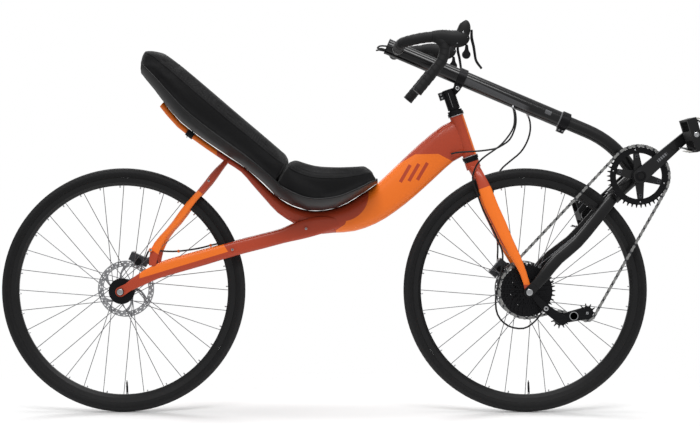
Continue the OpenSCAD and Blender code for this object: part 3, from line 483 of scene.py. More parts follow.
paint = painted("frame_paint", frame_pattern)
head_paint = painted("head_paint", head_pattern)
chain_stay_paint = painted("chain_stay_paint", chain_stay_pattern)
seat_stay_paint = painted("seat_stay_paint", seat_stay_pattern)
fork_paint = painted("fork_paint", fork_pattern)
boom_lacquer = lacquered("boom_lacquer", swoosh)
plain_lacquer = lacquered("plain_lacquer", rough=0.3, coat=0.15)
shell_lacquer = lacquered("shell_lacquer", rough=0.34, coat=0.0)
crank_lacquer = lacquered("crank_lacquer", crank_marks, rough=0.28)
black_alloy = anodised("black_alloy", srgb(20, 20, 22))
grey_alloy = anodised("grey_alloy", srgb(64, 65, 68), 0.34)
silver = bright_metal("silver_bolts", srgb(205, 206, 208), 0.2)
spoke_wire = bright_metal("spoke_wire", srgb(120, 121, 124), 0.3)
chain_steel = bright_metal("chain_steel", srgb(178, 178, 176), 0.28)
sprocket_steel = bright_metal("sprocket_steel", srgb(46, 46, 48), 0.34, front_axle)
front_disc_steel = bright_metal("front_disc_steel", srgb(196, 197, 200), 0.22, front_axle)
rear_disc_steel = bright_metal("rear_disc_steel", srgb(196, 197, 200), 0.22, rear_axle)
front_tread = tread("front_tread", front_axle)
rear_tread = tread("rear_tread", rear_axle)
hood_rubber = moulded("hood_rubber", srgb(15, 15, 16), 0.5, 900.0)
hose_jacket = moulded("hose_jacket", srgb(20, 20, 21), 0.32, 1500.0, 0.00003)
pedal_plastic = moulded("pedal_plastic", srgb(17, 17, 18), 0.45, 500.0)
handle_tape = perforated_tape("handle_tape")
cover_fabric = woven("cover_fabric", srgb(16, 16, 17), 3600.0, 0.00025)
piping_fabric = woven("piping_fabric", srgb(17, 17, 18), 5200.0, 0.0002)
strap_web = woven("strap_web", srgb(22, 22, 23), 4200.0, 0.0003)
reflector = plain_glossy("reflector", srgb(214, 212, 204))
pale_mark = plain_glossy("pale_mark", srgb(190, 190, 188), 0.45)
# Matte near-black for the floors of bolt recesses and the crank cap's hollow: painted shade.
painted_recess_shade = moulded("painted_recess_shade", srgb(10, 10, 11), 0.7)


# ---------------------------------------------------------------- shapes

def unit(v):
    return v / np.linalg.norm(v)


def smooth(rows, steps):
    """A Catmull-Rom curve through rows of numbers."""
    rows = np.array(rows, float)
    last = len(rows) - 1
    out = []
    for i in range(last):
        a, b, c, d = rows[max(i - 1, 0)], rows[i], rows[i + 1], rows[min(i + 2, last)]
        for t in np.arange(steps) / steps:
            out.append(0.5 * (2 * b + (c - a) * t + (2 * a - 5 * b + 4 * c - d) * t ** 2
                              + (3 * b - a - 3 * c + d) * t ** 3))
    out.append(rows[last])
    return np.array(out)


def circle(count, radius=1.0, start=0.0):
    turns = start + 2 * math.pi * np.arange(count) / count
    return np.stack([np.cos(turns), np.sin(turns)], 1) * radius


def hoop(middle, radius, u, v):
    """Points round a circle spanned by two directions."""
    turns = circle(48, radius)
    return middle + turns[:, :1] * u + turns[:, 1:] * v


def run_of(path):
    """The distance along a path at each of its points."""
    return np.concatenate([[0], np.cumsum(np.linalg.norm(np.diff(path, axis=0), axis=1))])


def on_path(path, stations):
    """The points of a path at those distances along it."""
    run = run_of(path)
    return np.stack([np.interp(stations, run, path[:, i]) for i in range(3)], 1)


class Shape:
    """Points and faces gathered part by part, each part with one of the piece's finishes."""

    def __init__(self):
        self.points = []
        self.faces = []
        self.finish_of = []

    def add(self, points, faces, finish=0):
        first = len(self.points)
        self.points += [tuple(map(float, p)) for p in points]
        self.faces += [tuple(first + i for i in f) for f in faces]
        self.finish_of += [finish] * len(faces)
        return self

    def rings(self, rings, finish=0, closed=False, capped=True):
        """A skin through rings of equal length, the same way round each."""
        n, count = len(rings[0]), len(rings)
        faces = []
        for i in range(count if closed else count - 1):
            a, b = i * n, (i + 1) % count * n
            faces += [(a + j, a + (j + 1) % n, b + (j + 1) % n, b + j) for j in range(n)]
        if capped and not closed:
            faces += [tuple(range(n))[::-1], tuple((count - 1) * n + j for j in range(n))]
        return self.add(np.concatenate(rings), faces, finish)

    def tube(self, path, radius, sides=12, finish=0, closed=False):
        """A round tube along points; radius is one number or one for each point."""
        path = np.array(path, float)
        count = len(path)
        radii = np.broadcast_to(radius, count)
        ahead = np.roll(path, -1, 0) - np.roll(path, 1, 0)
        if not closed:
            ahead[0], ahead[-1] = path[1] - path[0], path[-1] - path[-2]
        side = np.array([0.31, 0.9, 0.23])
        rings = []
        for point, run, r in zip(path, ahead, radii):
            run = unit(run)
            side = unit(side - run * (side @ run))
            other = np.cross(run, side)
            flat = circle(sides, r)
            rings.append(point + flat[:, :1] * side + flat[:, 1:] * other)
        return self.rings(rings, finish, closed)

    def lathe(self, at, axis, profile, sides=28, finish=0):
        """Turns (radius, along) pairs round an axis; a radius of 0 closes an end."""
        axis = unit(np.array(axis, float))
        u = unit(np.cross(axis, [0.2, 0.3, 0.9]))
        v = np.cross(axis, u)
        flat = circle(sides)
        rings = [np.array(at) + axis * along + max(r, 0.01) * (flat[:, :1] * u + flat[:, 1:] * v)
                 for r, along in profile]
        return self.rings(rings, finish)


def finish_piece(name, mesh, body, finishes, sharp=35.0, replaced=()):
    """Puts a mesh in the scene: its materials, its shading, and the body it rides on."""
    for material in finishes:
        mesh.materials.append(material)
    mesh.shade_smooth()
    mesh.set_sharp_from_angle(angle=math.radians(sharp))
    piece = bpy.data.objects.new(name, mesh)
    scene.collection.objects.link(piece)
    if body:
        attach(piece, body)
    if replaced:
        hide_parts(*replaced)
    return piece


def as_mesh(name, shape):
    mesh = bpy.data.meshes.new(name)
    mesh.from_pydata([tuple(c * MM for c in p) for p in shape.points], [], shape.faces)
    mesh.validate()
    mesh.update()
    return mesh


def make(name, shape, body, finishes, sharp=35.0, replaced=()):
    mesh = as_mesh(name, shape)
    piece = finish_piece(name, mesh, body, finishes, sharp, replaced)
    if len(finishes) > 1:
        mesh.polygons.foreach_set("material_index", shape.finish_of)
    return piece


def welded_copy(node):
    """A copy of a CAD node's mesh with its split corners joined, for smooth shading."""
    mesh = frame["nodes"][node].data.copy()
    mesh.materials.clear()
    work = bmesh.new()
    work.from_mesh(mesh)
    bmesh.ops.remove_doubles(work, verts=work.verts, dist=0.00001)
    work.to_mesh(mesh)
    work.free()
    if mesh.attributes.get("custom_normal"):
        mesh.attributes.remove(mesh.attributes["custom_normal"])
    return mesh


body_of = {n: o["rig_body"] for n, o in frame["nodes"].items()}


def reshade(node, material, sharp=35.0):
    """Stands a smoothly shaded copy with a finish in for a CAD node."""
    mesh = welded_copy(node)
    return finish_piece(node + "_skin", mesh, body_of[node], [material], sharp, [node])


# ---------------------------------------------------------------- painted frame and turned parts

SKINS = {
    "main_frame": (paint, 50), "head_tube": (head_paint, 35), "chain_stays": (chain_stay_paint, 42),
    "seat_stays": (seat_stay_paint, 42), "fork": (fork_paint, 42), "headset_cups": (black_alloy, 35),
    "seat_shell": (shell_lacquer, 50), "rear_axle": (black_alloy, 35), "rear_caliper": (grey_alloy, 35),
    "front_caliper": (grey_alloy, 35), "rear_rim": (plain_lacquer, 35), "front_rim": (plain_lacquer, 35),
    "rear_tyre": (rear_tread, 50), "front_tyre": (front_tread, 50), "rear_hub": (black_alloy, 35),
    "front_hub": (black_alloy, 35), "rear_spokes": (spoke_wire, 50), "front_spokes": (spoke_wire, 50),
    "steerer": (black_alloy, 35), "boom_mount": (black_alloy, 35), "boom_tube": (boom_lacquer, 35),
    "boom_clamps": (black_alloy, 35), "boom_slider": (plain_lacquer, 50), "bracket_shell": (black_alloy, 35),
    "drive_yoke": (plain_lacquer, 35), "drive_stays": (plain_lacquer, 45), "front_axle": (black_alloy, 35),
    "handlebar": (black_alloy, 35), "lever_hoods": (hood_rubber, 55), "brake_levers": (black_alloy, 50),
    "derailleur": (black_alloy, 35), "pulleys": (pedal_plastic, 30), "cassette": (sprocket_steel, 30),
    "crank_spindle": (black_alloy, 35), "right_crank": (crank_lacquer, 35), "left_crank": (crank_lacquer, 35),
    "chainring": (black_alloy, 30), "right_pedal": (pedal_plastic, 35), "left_pedal": (pedal_plastic, 35),
    "rear_brake_hose": (hose_jacket, 70), "front_hoses": (hose_jacket, 70), "seat_strap": (strap_web, 35),
}
for node_name, (node_finish, node_sharp) in SKINS.items():
    reshade(node_name, node_finish, node_sharp)


# ---------------------------------------------------------------- small fittings

def bolt(shape, at, axis, r=3.2, high=3.0, finish=0, bore=1):
    """A socket-head bolt: a chamfered head whose recess holds a matte near-black disc, painted shade."""
    at, axis = np.array(at, float), unit(np.array(axis, float))
    shape.lathe(at, axis, [(r, 0), (r, high * 0.75), (r * 0.86, high), (r * 0.5, high),
                           (r * 0.46, high * 0.4), (0, high * 0.4)], 18, finish)
    # The recess floor gets a matte near-black disc: painted shade in the socket.
    shape.lathe(at + axis * high * 0.42, axis, [(r * 0.44, 0), (0, 0.05)], 6, bore)


def both(at):
    """The same place on the right and on the left."""
    return [(np.array(at) * [1, s, 1], s) for s in (-1, 1)]


def collars(shape, places, back, profile, sides, finish=0):
    """Turned rings round cords, each given as a point and the cord's direction there."""
    for at, run in places:
        run = unit(np.array(run, float))
        shape.lathe(np.array(at) - run * back, run, profile, sides, finish)


def bead(r, half, rise):
    """The profile of a thin raised ring on a round part."""
    return [(r, -half), (r + rise, -half / 2), (r + rise, half / 2), (r, half)]


def frame_bolts():
    """Bolts in the stays' bosses, and the frame's small covers."""
    shape = Shape()
    for at, half in (((-84, 0, -164), 43), ((-289, 0, -222), 52), ((-357, 0, -30), 31),
                     ((rear_axle[0] + 84, 0, rear_axle[2] + 116), 75.5)):
        for place, s in both((at[0], half, at[2])):
            bolt(shape, place, (0, s, 0), 3.4, 1.6)
            shape.lathe(place, (0, s, 0), [(5.4, -0.2), (5.4, 0.3), (3.5, 0.5), (3.5, -0.2)], 24, 2)
    axle_half = 82.5
    for place, s in both((rear_axle[0], axle_half, rear_axle[2])):
        shape.lathe(place, (0, s, 0), [(8.5, 0), (8.5, 1.2), (7, 2), (4, 2), (4, 0.5), (0, 0.5)], 28)
    make("frame_bolts", shape, "frame", [silver, painted_recess_shade, chain_stay_paint])


def front_axle_caps():
    """Caps on both ends of the front axle."""
    shape = Shape()
    axle_half = 93
    for place, s in both((front_axle[0], axle_half, front_axle[2])):
        shape.lathe(place, (0, s, 0), [(9, 0), (9, 1.4), (7.4, 2.2), (4.2, 2.2), (4.2, 0.6), (0, 0.6)], 28)
    make("front_axle_caps", shape, "steering", [silver])


def head_fittings():
    """Seal rings of the headset, the collar's bolts, a thin silver line down each side of the collar, and the
    pivot's bolt.
    """
    shape = Shape()
    for up in (head_len / 2 + 0.4, -head_len / 2 - 0.4):
        seal = [(22.9, -0.9), (23.1, -0.3), (23.1, 0.3), (22.9, 0.9)]
        shape.lathe(head + steer_up * up, steer_up, seal, 48)
    for up in (collar_top - 16, collar_top - 6):
        for s in (-1, 1):
            bolt(shape, steer_at(up, -23.3) + [0, s * 9, 0], (0, s, 0), 3.4, 3.2)
    for s in (-1, 1):
        bolt(shape, pivot + [0, s * 17, 0], (0, s, 0), 6.2, 3)
        # A thin silver rod down each side of the collar draws a light line there.
        shape.tube([steer_at(collar_top - down, -3) - RIGHT * s * 17.2 for down in (50, 8)], 0.7, 6)
    shape.lathe(steer_at(collar_top), steer_up, [(16.8, 0), (16.8, 1.2), (14, 2), (5, 2), (4.5, 1), (0, 1)],
                36, 2)
    make("head_fittings", shape, "steering", [silver, painted_recess_shade, black_alloy])


def boom_fittings():
    """Bolts and edges of the two clamps on the boom, and the rings at its mouth and its front end."""
    shape = Shape()
    for clamp in (0, 314):
        for along in (-5, 5):
            for y in (-1, 1):
                bolt(shape, boom_at(clamp + along, -boom_r - 6, y * 12), (0, y, 0), 2.6, 2.6)
        for edge in (-11, 11):
            shape.tube(hoop(boom_at(clamp + edge), boom_r + 3.7, boom_up, ALONG_Y), 0.5, 6, 2, closed=True)
    shape.lathe(boom_at(boom_mouth), -boom_dir, [(boom_r + 0.4, -2), (boom_r + 0.4, 0.8), (boom_r - 1.2, 1.6),
                                                 (boom_r - 3.2, 1.6), (boom_r - 3.4, -2)], 40, 2)
    shape.lathe(boom_at(326), boom_dir, [(boom_r + 0.3, -2), (boom_r + 0.3, 0.8), (boom_r - 2, 1.5),
                                         (19.6, 1.5), (19.5, -1)], 40, 2)
    make("boom_fittings", shape, "steering", [silver, painted_recess_shade, black_alloy])


def bracket_fittings():
    """Notched cups of the bottom bracket and the clamp bolts on the yoke."""
    shape = Shape()
    for place, s in both((crank[0], 41.6, crank[2])):
        for q in np.linspace(0, 2 * math.pi, 16, endpoint=False):
            shape.lathe(place + 21.8 * outward(q), (0, -s, 0),
                        [(1.6, 0), (1.6, 4), (1.2, 4.4), (0, 4.4)], 8, 2)
    to_yoke = np.array([-64.0, 0, -57])
    yoke, run = crank + to_yoke, unit(to_yoke)
    for k in (6, 14):
        for s in (-1, 1):
            bolt(shape, yoke - run * k + [0, s * 22.6, 0], (0, s, 0), 3.4, 3)
    for edge in (-16, 2):
        ring = hoop(yoke + run * edge, 23.1, np.cross(run, ALONG_Y), ALONG_Y)
        shape.tube(ring, 0.5, 6, 2, closed=True)
    make("bracket_fittings", shape, "steering", [silver, painted_recess_shade, black_alloy])


def crank_fittings():
    """The crank's cap and preload ring, the ring's bolts, and small silver pins on the chainring."""
    shape = Shape()
    face = crank + [0, -73, 0]
    shape.lathe(face, RIGHT, [(15, -0.5), (15, 1.4), (13.5, 2.2), (11, 2.2), (10.6, 0.8), (4, 0.8), (4, -0.5),
                              (0, -0.5)], 40, 2)
    # A matte near-black disc over the cap's recessed floor: painted shade in the hollow.
    shape.lathe(face - [0, 0.9, 0], RIGHT, [(10.4, 0), (9.6, 0.7), (0, 0.9)], 32, 1)
    shape.lathe(face * [1, -1, 1], -RIGHT,
                [(14, -0.5), (14, 1.6), (12.5, 2.4), (6, 2.4), (5, 0), (0, 0)], 36, 2)
    for q in (-128, -57, 57, 128):
        radial = outward(crank_angle + math.radians(q))
        bolt(shape, crank + radial * 55 + [0, -53.7, 0], RIGHT, 5.2, 2.4, 3)
        shape.lathe(crank + radial * 73 + [0, -47.6, 0], RIGHT, [(2, 0), (2, 0.7), (1.4, 1), (0, 1)], 12)
    for pedal, s in ((right_pedal_at, -1), (left_pedal_at, 1)):
        shape.lathe(pedal + [0, s * 73, 0], (0, s, 0), [(9.5, 0), (9.5, 0.8), (7.4, 1.2), (7.2, 0)], 28, 2)
    make("crank_fittings", shape, "crankset", [silver, painted_recess_shade, black_alloy, grey_alloy])


def pedal_fittings(name, at, side, body):
    """Reflectors, grip pins and the spindle's end cap."""
    shape = Shape()
    lean = math.radians(17)
    along = np.array([math.sin(lean), 0, math.cos(lean)])
    thick = np.array([math.cos(lean), 0, -math.sin(lean)])
    inner, wide = 87, 96
    y_mid = side * (inner + wide / 2)
    for end in (-1, 1):
        for y in (-20, 20):
            centre = at + along * end * 46.2 + [0, y_mid + y, 0]
            corners = [centre + ALONG_Y * a * 13 + thick * b * 6
                       for a, b in ((-1, -1), (1, -1), (1, 1), (-1, 1))]
            front = [c + along * end * 1.4 - ALONG_Y * (c[1] - centre[1]) * 0.1 for c in corners]
            shape.rings([np.array(corners), np.array(front)], 0)
        for face in (-1, 1):
            for y in np.linspace(-40, 40, 5):
                pin = at + along * end * 41 + thick * face * 12.9 + [0, y_mid + y, 0]
                shape.lathe(pin, thick * face, [(1.6, 0), (1.6, 2), (1.1, 2.6), (0, 2.6)], 10, 1)
    shape.lathe(at + [0, side * (inner + wide), 0], (0, side, 0),
                [(7, -0.5), (7, 1.5), (5.6, 2.4), (3, 2.4), (2.6, 1.2), (0, 1.2)], 28, 1)
    for end in (-1, 1):
        for y in (-1, 1):
            edge = at + along * end * 38 + [0, y_mid + y * 38, 0]
            shape.tube([edge - thick * 13.1, edge + thick * 13.1], 2.4, 12, 2)
    make(name, shape, body, [reflector, silver, pedal_plastic])


def wheel_fittings(name, axle, body, hub_marks):
    """Spoke nipples, the valve and its nut, and rings on the hub."""
    shape = Shape()
    for k in range(32):
        out = outward(math.radians(360 / 32 * k + 2))
        place = axle + out * (rim_in_r - 6) + [0, 2.2 if k % 2 else -2.2, 0]
        shape.lathe(place, out, [(1.4, 0), (1.9, 0.8), (1.9, 5.4), (2.5, 6.4), (2.5, 7.5)], 8)
    down = np.array([0.035, 0, -1.0])
    shape.lathe(axle + down * (rim_in_r + 2), -down,
                [(4.6, 0), (4.6, 2), (3, 2.2), (3, 26), (2.6, 27), (2.6, 36), (1.4, 36.5), (1.4, 41),
                 (0, 41.4)], 16, 1)
    for y in hub_marks:
        shape.lathe(axle + [0, y, 0], ALONG_Y, bead(15, 0.6, 0.35), 40, 1)
    make(name, shape, body, [silver, black_alloy])


def rotor(name, axle, y, node, body, finish):
    """A brake disc: a drilled brake band, six swept arms and an inner ring with bolts."""
    shape = Shape()
    half = 0.9
    around, radii = 180, np.array([64, 67, 69.5, 72, 74.5, 77, 80.0])
    arm_in, arm_long = 28, 36.5

    def at(r, k, side, sweep=0.0):
        q = 2 * math.pi * k / around + sweep
        return axle + [r * math.cos(q), y + side * half, r * math.sin(q)]

    def cell(r0, r1, k0, k1, wide0=0.0, wide1=0.0, sweep0=0.0, sweep1=0.0):
        """One solid cell between two radii and two steps round, wider by wide0 at r0 and wide1 at r1."""
        shape.rings([np.array([at(r0, k0 - wide0, s, sweep0), at(r1, k0 - wide1, s, sweep1),
                               at(r1, k1 + wide1, s, sweep1), at(r0, k1 + wide0, s, sweep0)])
                     for s in (-1, 1)])

    def arm(r):
        """How wide an arm is at a radius, and how far it has swept."""
        share = (r - arm_in) / arm_long
        return 3.6 - 1.6 * math.sin(share * math.pi), -0.55 * share ** 1.3

    for i in range(len(radii) - 1):
        for k in range(around):
            hole = i in (1, 4) and (k + 3 * i) % 6 in (0, 1) or i == 3 and k % 6 in (3, 4) and k % 12 < 6
            if not hole:
                cell(radii[i], radii[i + 1], k, k + 1)
    reach = np.linspace(arm_in, arm_in + arm_long, 9)
    for k in range(0, around, 30):
        for r0, r1 in zip(reach[:-1], reach[1:]):
            (wide0, sweep0), (wide1, sweep1) = arm(r0), arm(r1)
            cell(r0, r1, k, k, wide0, wide1, sweep0, sweep1)
    for k in range(60):
        for r0, r1 in ((22.3, 25.5), (25.5, 28.2)):
            cell(r0, r1, k * 3, k * 3 + 3)
    for k in range(6):
        bolt(shape, axle + 24.4 * outward(math.radians(60 * k + 30)) + [0, y + half, 0], ALONG_Y, 2.6, 1.6)
    make(name, shape, body, [finish, painted_recess_shade], 30, [node])


# ---------------------------------------------------------------- chain

PITCH = 12.7


def pitch_r(teeth):
    return PITCH / (2 * math.sin(math.pi / teeth))


def chain_line():
    """The chain's middle line as [x, z, y] points, in its order of travel."""
    ring_y, sprocket_y = -46, -30
    wheels = [(at[[0, 2]], pitch_r(teeth), way, y) for at, teeth, way, y in (
        (crank, 42, 1, ring_y), (front_axle, 38, 1, sprocket_y), (guide_at, 11, -1, sprocket_y),
        (tension_at, 11, 1, sprocket_y))]
    tail = 42

    def run_angle(a, b):
        gap = b[0] - a[0]
        return math.atan2(gap[1], gap[0]) - math.asin((b[2] * b[1] - a[2] * a[1]) / np.linalg.norm(gap))

    def touch(w, q):
        return w[0] + w[2] * w[1] * np.array([math.sin(q), -math.cos(q)])

    points = []
    for k, wheel in enumerate(wheels):
        ahead = wheels[(k + 1) % 4]
        q_in, q_out = run_angle(wheels[k - 1], wheel), run_angle(wheel, ahead)
        turn = (q_out - q_in) % (2 * math.pi) if wheel[2] > 0 else -((q_in - q_out) % (2 * math.pi))
        for q in q_in + turn * np.linspace(0, 1, 40):
            points.append([*touch(wheel, q), wheel[3]])
        if wheel[3] != ahead[3]:
            run = np.array([math.cos(q_out), math.sin(q_out)])
            points.append([*(touch(wheel, q_out) + run * tail), wheel[3]])
            points.append([*(touch(ahead, q_out) - run * tail), ahead[3]])
    return np.array(points + points[:1])


def chain_links():
    """Roller chain: inner and outer plates in turn, with a roller and a pin at each joint."""
    line = chain_line()
    length = run_of(line)[-1]
    count = round(length / PITCH / 2) * 2
    pins = on_path(line, np.linspace(0, length, count, endpoint=False))[:, [0, 2, 1]]
    shape = Shape()
    end = circle(8, 1.0, math.pi / 2)[:5]
    for k, pin in enumerate(pins):
        ahead = pins[(k + 1) % count]
        run = unit(ahead - pin)
        up = unit(np.cross(run, ALONG_Y))
        gap = np.linalg.norm(ahead - pin)
        outer = k % 2
        half, off = (3.9, 2.55) if outer else (4.2, 1.6)
        waist = half * 0.74
        outline = [(x * half, u * half) for x, u in end] + [(gap / 2, -waist)]
        outline += [(gap - x * half, -u * half) for x, u in end] + [(gap / 2, waist)]
        for s in (-1, 1):
            flat = np.array([pin + run * x + up * u for x, u in outline])
            shape.rings([flat + [0, s * off + y, 0] for y in (-0.4, 0.4)], outer)
        if not outer:
            shape.lathe(pin - [0, 1.2, 0], ALONG_Y, [(3.4, 0), (3.4, 2.4)], 10, 1)
        shape.lathe(pin - [0, 3.3, 0], ALONG_Y,
                    [(0, 0), (1.5, 0.1), (1.8, 0.5), (1.8, 6.1), (1.5, 6.5), (0, 6.6)], 8, 1)
    make("roller_chain", shape, "steering", [grey_alloy, chain_steel], 40, ["chain"])


# ---------------------------------------------------------------- handlebar

def taped_line():
    """The middle line of the right half of the bar."""
    x, _, z = bar_at
    drop = -bar_half
    return smooth([
        [x, -76, z], [x - 1, drop + 64, z], [x + 6, drop + 24, z + 5], [x + 30, drop + 6, z + 11],
        [x + 62, drop + 2, z + 17], [x + 92, drop, z + 18], [x + 112, drop - 1, z + 4],
        [x + 117, drop - 2, z - 19],
        [x + 109, drop - 4, z - 46], [x + 90, drop - 5, z - 71], [x + 67, drop - 6, z - 99],
        [x + 42, drop - 8, z - 129]], 24)


def bar_wraps():
    """Tape wound round the bar: each turn laps over the last, in shallow slanted steps."""
    line = taped_line()
    stations = np.arange(0, run_of(line)[-1], 1.5)
    path = on_path(line, stations)
    sides, lap = 20, 17.0
    for s, name in ((1, "right_bar_wrap"), (-1, "left_bar_wrap")):
        shape = Shape()
        side = np.array([0.0, 0.2, 1.0])
        rings = []
        for i, point in enumerate(path):
            ahead = unit(path[min(i + 1, len(path) - 1)] - path[max(i - 1, 0)])
            side = unit(side - ahead * (side @ ahead))
            other = np.cross(ahead, side)
            flat = circle(sides)
            turn = np.arange(sides) / sides
            share = ((stations[i] / lap) + turn * s) % 1
            r = 14.1 + 1.0 * share - 0.9 * np.clip((share - 0.9) / 0.1, 0, 1)
            rings.append((point + r[:, None] * (flat[:, :1] * side + flat[:, 1:] * other)) * [1, s, 1])
        flip = [1, s, 1]
        shape.rings(rings)
        shape.lathe(path[2] * flip, (0, 1, 0), [(15.3, -4), (15.6, -3.5), (15.6, 3.5), (15.3, 4)], 32, 1)
        shape.lathe(path[-1] * flip, (path[-1] - path[-2]) * flip,
                    [(15.2, -1), (15.4, 0.6), (13, 2), (4, 2.4), (0, 2.4)], 28, 1)
        make(name, shape, "steering", [handle_tape, black_alloy], 60, ["bar_tape"] if s > 0 else ())


def lever_fittings():
    """Pins of the levers and hoods, ridges across the hoods, and rings on the bar by its tape."""
    shape = Shape()
    for s in (-1, 1):
        side = s * bar_half
        for x, z, r in ((176, 16, 3.2), (166, 30, 2.2), (150, 2, 2.0)):
            for out in (-1, 1):
                reach = 14.2 if r < 3 else 11.5
                shape.lathe([bar_at[0] + x, side + out * reach, bar_at[2] + z], (0, out, 0),
                            [(r, 0), (r, 0.8), (r * 0.7, 1.1), (0, 0.9)], 16)
        ridge = [[bar_at[0] + 112 + 9 * k, side, bar_at[2] + 38.4 - 0.15 * k * k] for k in range(5)]
        for x, y, z in ridge:
            shape.tube([[x, y + t, z - 0.045 * t * t] for t in np.linspace(-8, 8, 9)], 0.8, 6, 1)
    for y in (-70, 70):
        for k in (0, 4):
            shape.lathe([bar_at[0], y + k, bar_at[2]], ALONG_Y,
                        [(16.0, -0.5), (16.3, -0.2), (16.3, 0.2), (16.0, 0.5)], 36, 2)
    make("lever_fittings", shape, "steering", [silver, hood_rubber, pale_mark])


# ---------------------------------------------------------------- seat

hip_half, nose_half, top_half = 155, 118, 131
SEAT_ROWS = [
    [106, -4, -12, 35, nose_half], [88, 4, -8, 55, nose_half + 8], [55, 2, -2, 78, nose_half + 16],
    [0, 0, 0, 106, hip_half - 12], [-60, 4, 10, 119, hip_half], [-112, 20, 24, 110, hip_half],
    [-126, 26, 31, 102, hip_half], [-146, 38, 37, 94, hip_half], [-200, 84, 41, 95, hip_half - 4],
    [-290, 160, 41, 108, hip_half - 14], [-360, 220, 40, 113, top_half + 10],
    [-415, 267, 39, 103, top_half + 4], [-450, 295, 38, 92, top_half - 1],
    [-484, 320, 34, 83, top_half - 6], [-508, 334, 26, 76, top_half - 12],
    [-524, 339, 18, 68, top_half - 22], [-534, 340, 12, 56, top_half - 38]]
FINE = 6
seat_path = smooth(SEAT_ROWS, FINE)
crease = FINE * 6
shell_last = FINE * 14
full_depth, edge_rise, dish, shoulder, wall = 100, 30, 7, 26, 4.3
most_swell = 9 * MM


def seat_point(row, across, deep, inset=0.0):
    """A point of the seat: a share across, and a depth below the cushion's top line."""
    slope = math.radians(row[2])
    return np.array([row[0] - math.sin(slope) * deep, across * (row[4] - inset),
                     row[1] - math.cos(slope) * deep])


def pad_ring(row):
    """One section of a cushion, with its top kept low by the amount that the air lifts it."""
    share = row[3] / full_depth
    rise, lift, inset = edge_rise * share + 1, 3, wall + 1.5
    across = -np.cos(np.linspace(0, math.pi, 17))
    under = [seat_point(row, w, row[3] - wall - 0.6 - (rise - wall) * w ** 4, inset) for w in across]
    top = [seat_point(row, w, lift - dish * share * w * w + shoulder * share * w ** 6, inset)
           for w in across[::-1]]
    return np.array(under + top)


def cushion(name, node, rows):
    """A foam pad in its cover: a closed form, remeshed and swelled as cloth over the tray."""
    shape = Shape().rings([pad_ring(r) for r in rows])
    mesh = as_mesh(name, shape)
    work = bpy.data.objects.new(name + "_work", mesh)
    scene.collection.objects.link(work)
    bpy.context.view_layer.objects.active = work
    mesh.remesh_voxel_size = 0.0055
    bpy.ops.object.select_all(action="DESELECT")
    work.select_set(True)
    bpy.ops.object.voxel_remesh()
    still = np.array([v.co for v in work.data.vertices])
    move = inflate(work) - still
    length = np.linalg.norm(move, axis=1, keepdims=True)
    move *= np.minimum(1, most_swell / np.maximum(length, 1e-9))
    still = still + move * freedom(still)[:, None]
    work.data.vertices.foreach_set("co", still.astype(np.float32).ravel())
    soften = work.modifiers.new("soften", "SMOOTH")
    soften.factor, soften.iterations = 0.5, 4
    finer = work.modifiers.new("finer", "SUBSURF")
    finer.levels = 1
    shown = bpy.data.meshes.new_from_object(work.evaluated_get(bpy.context.evaluated_depsgraph_get()))
    bpy.data.objects.remove(work)
    shown.name = name
    piece = finish_piece(name, shown, "frame", [cover_fabric], 180, [node])
    return piece


def inflate(work):
    """The points of the cover after a short cloth simulation with air in it."""
    cloth = work.modifiers.new("air", "CLOTH")
    settings = cloth.settings
    settings.quality = 5
    settings.use_pressure = True
    settings.uniform_pressure_force = 4
    settings.effector_weights.gravity = 0
    settings.tension_stiffness = 30
    settings.compression_stiffness = 30
    last = 20
    scene.frame_start, scene.frame_end = 1, last
    cloth.point_cache.frame_start, cloth.point_cache.frame_end = 1, last
    for step in range(1, last + 1):
        scene.frame_set(step)
    shown = work.evaluated_get(bpy.context.evaluated_depsgraph_get())
    points = np.array([v.co for v in shown.data.vertices])
    work.modifiers.remove(cloth)
    scene.frame_set(1)
    return points


def skin_tree(mesh):
    return BVHTree.FromPolygons([v.co for v in mesh.vertices], [p.vertices[:] for p in mesh.polygons])


shell_tree = skin_tree(frame["nodes"]["seat_shell"].data)


def freedom(points):
    """How freely each point may move: not at all by the tray, fully 14 mm away from it."""
    gaps = np.array([shell_tree.find_nearest(Vector(p))[3] for p in points])
    return np.clip((gaps - 0.002) / 0.012, 0, 1)


def seam_path(rows, across, tree, proud):
    """A line along a cushion at a share across, laid on its skin."""
    path = []
    for row in rows:
        guess = seat_point(row, across, shoulder * row[3] / full_depth * abs(across) ** 6) * MM
        point, normal, _, _ = tree.find_nearest(Vector(guess))
        path.append(np.array(point + normal * proud * MM) / MM)
    path = np.array(path)
    for _ in range(3):
        path[1:-1] = (path[:-2] + 2 * path[1:-1] + path[2:]) / 4
    return path


def seat_seams(name, piece, rows):
    """Piping along both long edges, with a seam and a row of stitches beside it."""
    tree = skin_tree(piece.data)
    shape = Shape()
    for s in (-1, 1):
        shape.tube(seam_path(rows, s * 0.93, tree, 0.4), 1.5, 8)
        shape.tube(seam_path(rows, s * 0.80, tree, -0.25), 0.6, 6)
        line = seam_path(rows, s * 0.88, tree, 0.2)
        for start in np.arange(2, run_of(line)[-1] - 5, 6.5):
            shape.tube(on_path(line, start + np.array([0, 2, 4])), [0.25, 0.45, 0.25], 5)
    make(name, shape, "frame", [piping_fabric])


def cross_seams(piece, stations):
    """Seams sewn across the back cushion."""
    tree = skin_tree(piece.data)
    shape = Shape()
    for station in stations:
        row = seat_path[station]
        share = row[3] / full_depth
        path = []
        for w in np.linspace(-0.93, 0.93, 41):
            guess = seat_point(row, w, -dish * share * w * w + shoulder * share * abs(w) ** 6) * MM
            point, normal, _, _ = tree.find_nearest(Vector(guess))
            path.append(np.array(point - normal * 0.35 * MM) / MM)
        shape.tube(path, 1.0, 8)
    make("back_cross_seams", shape, "frame", [piping_fabric])


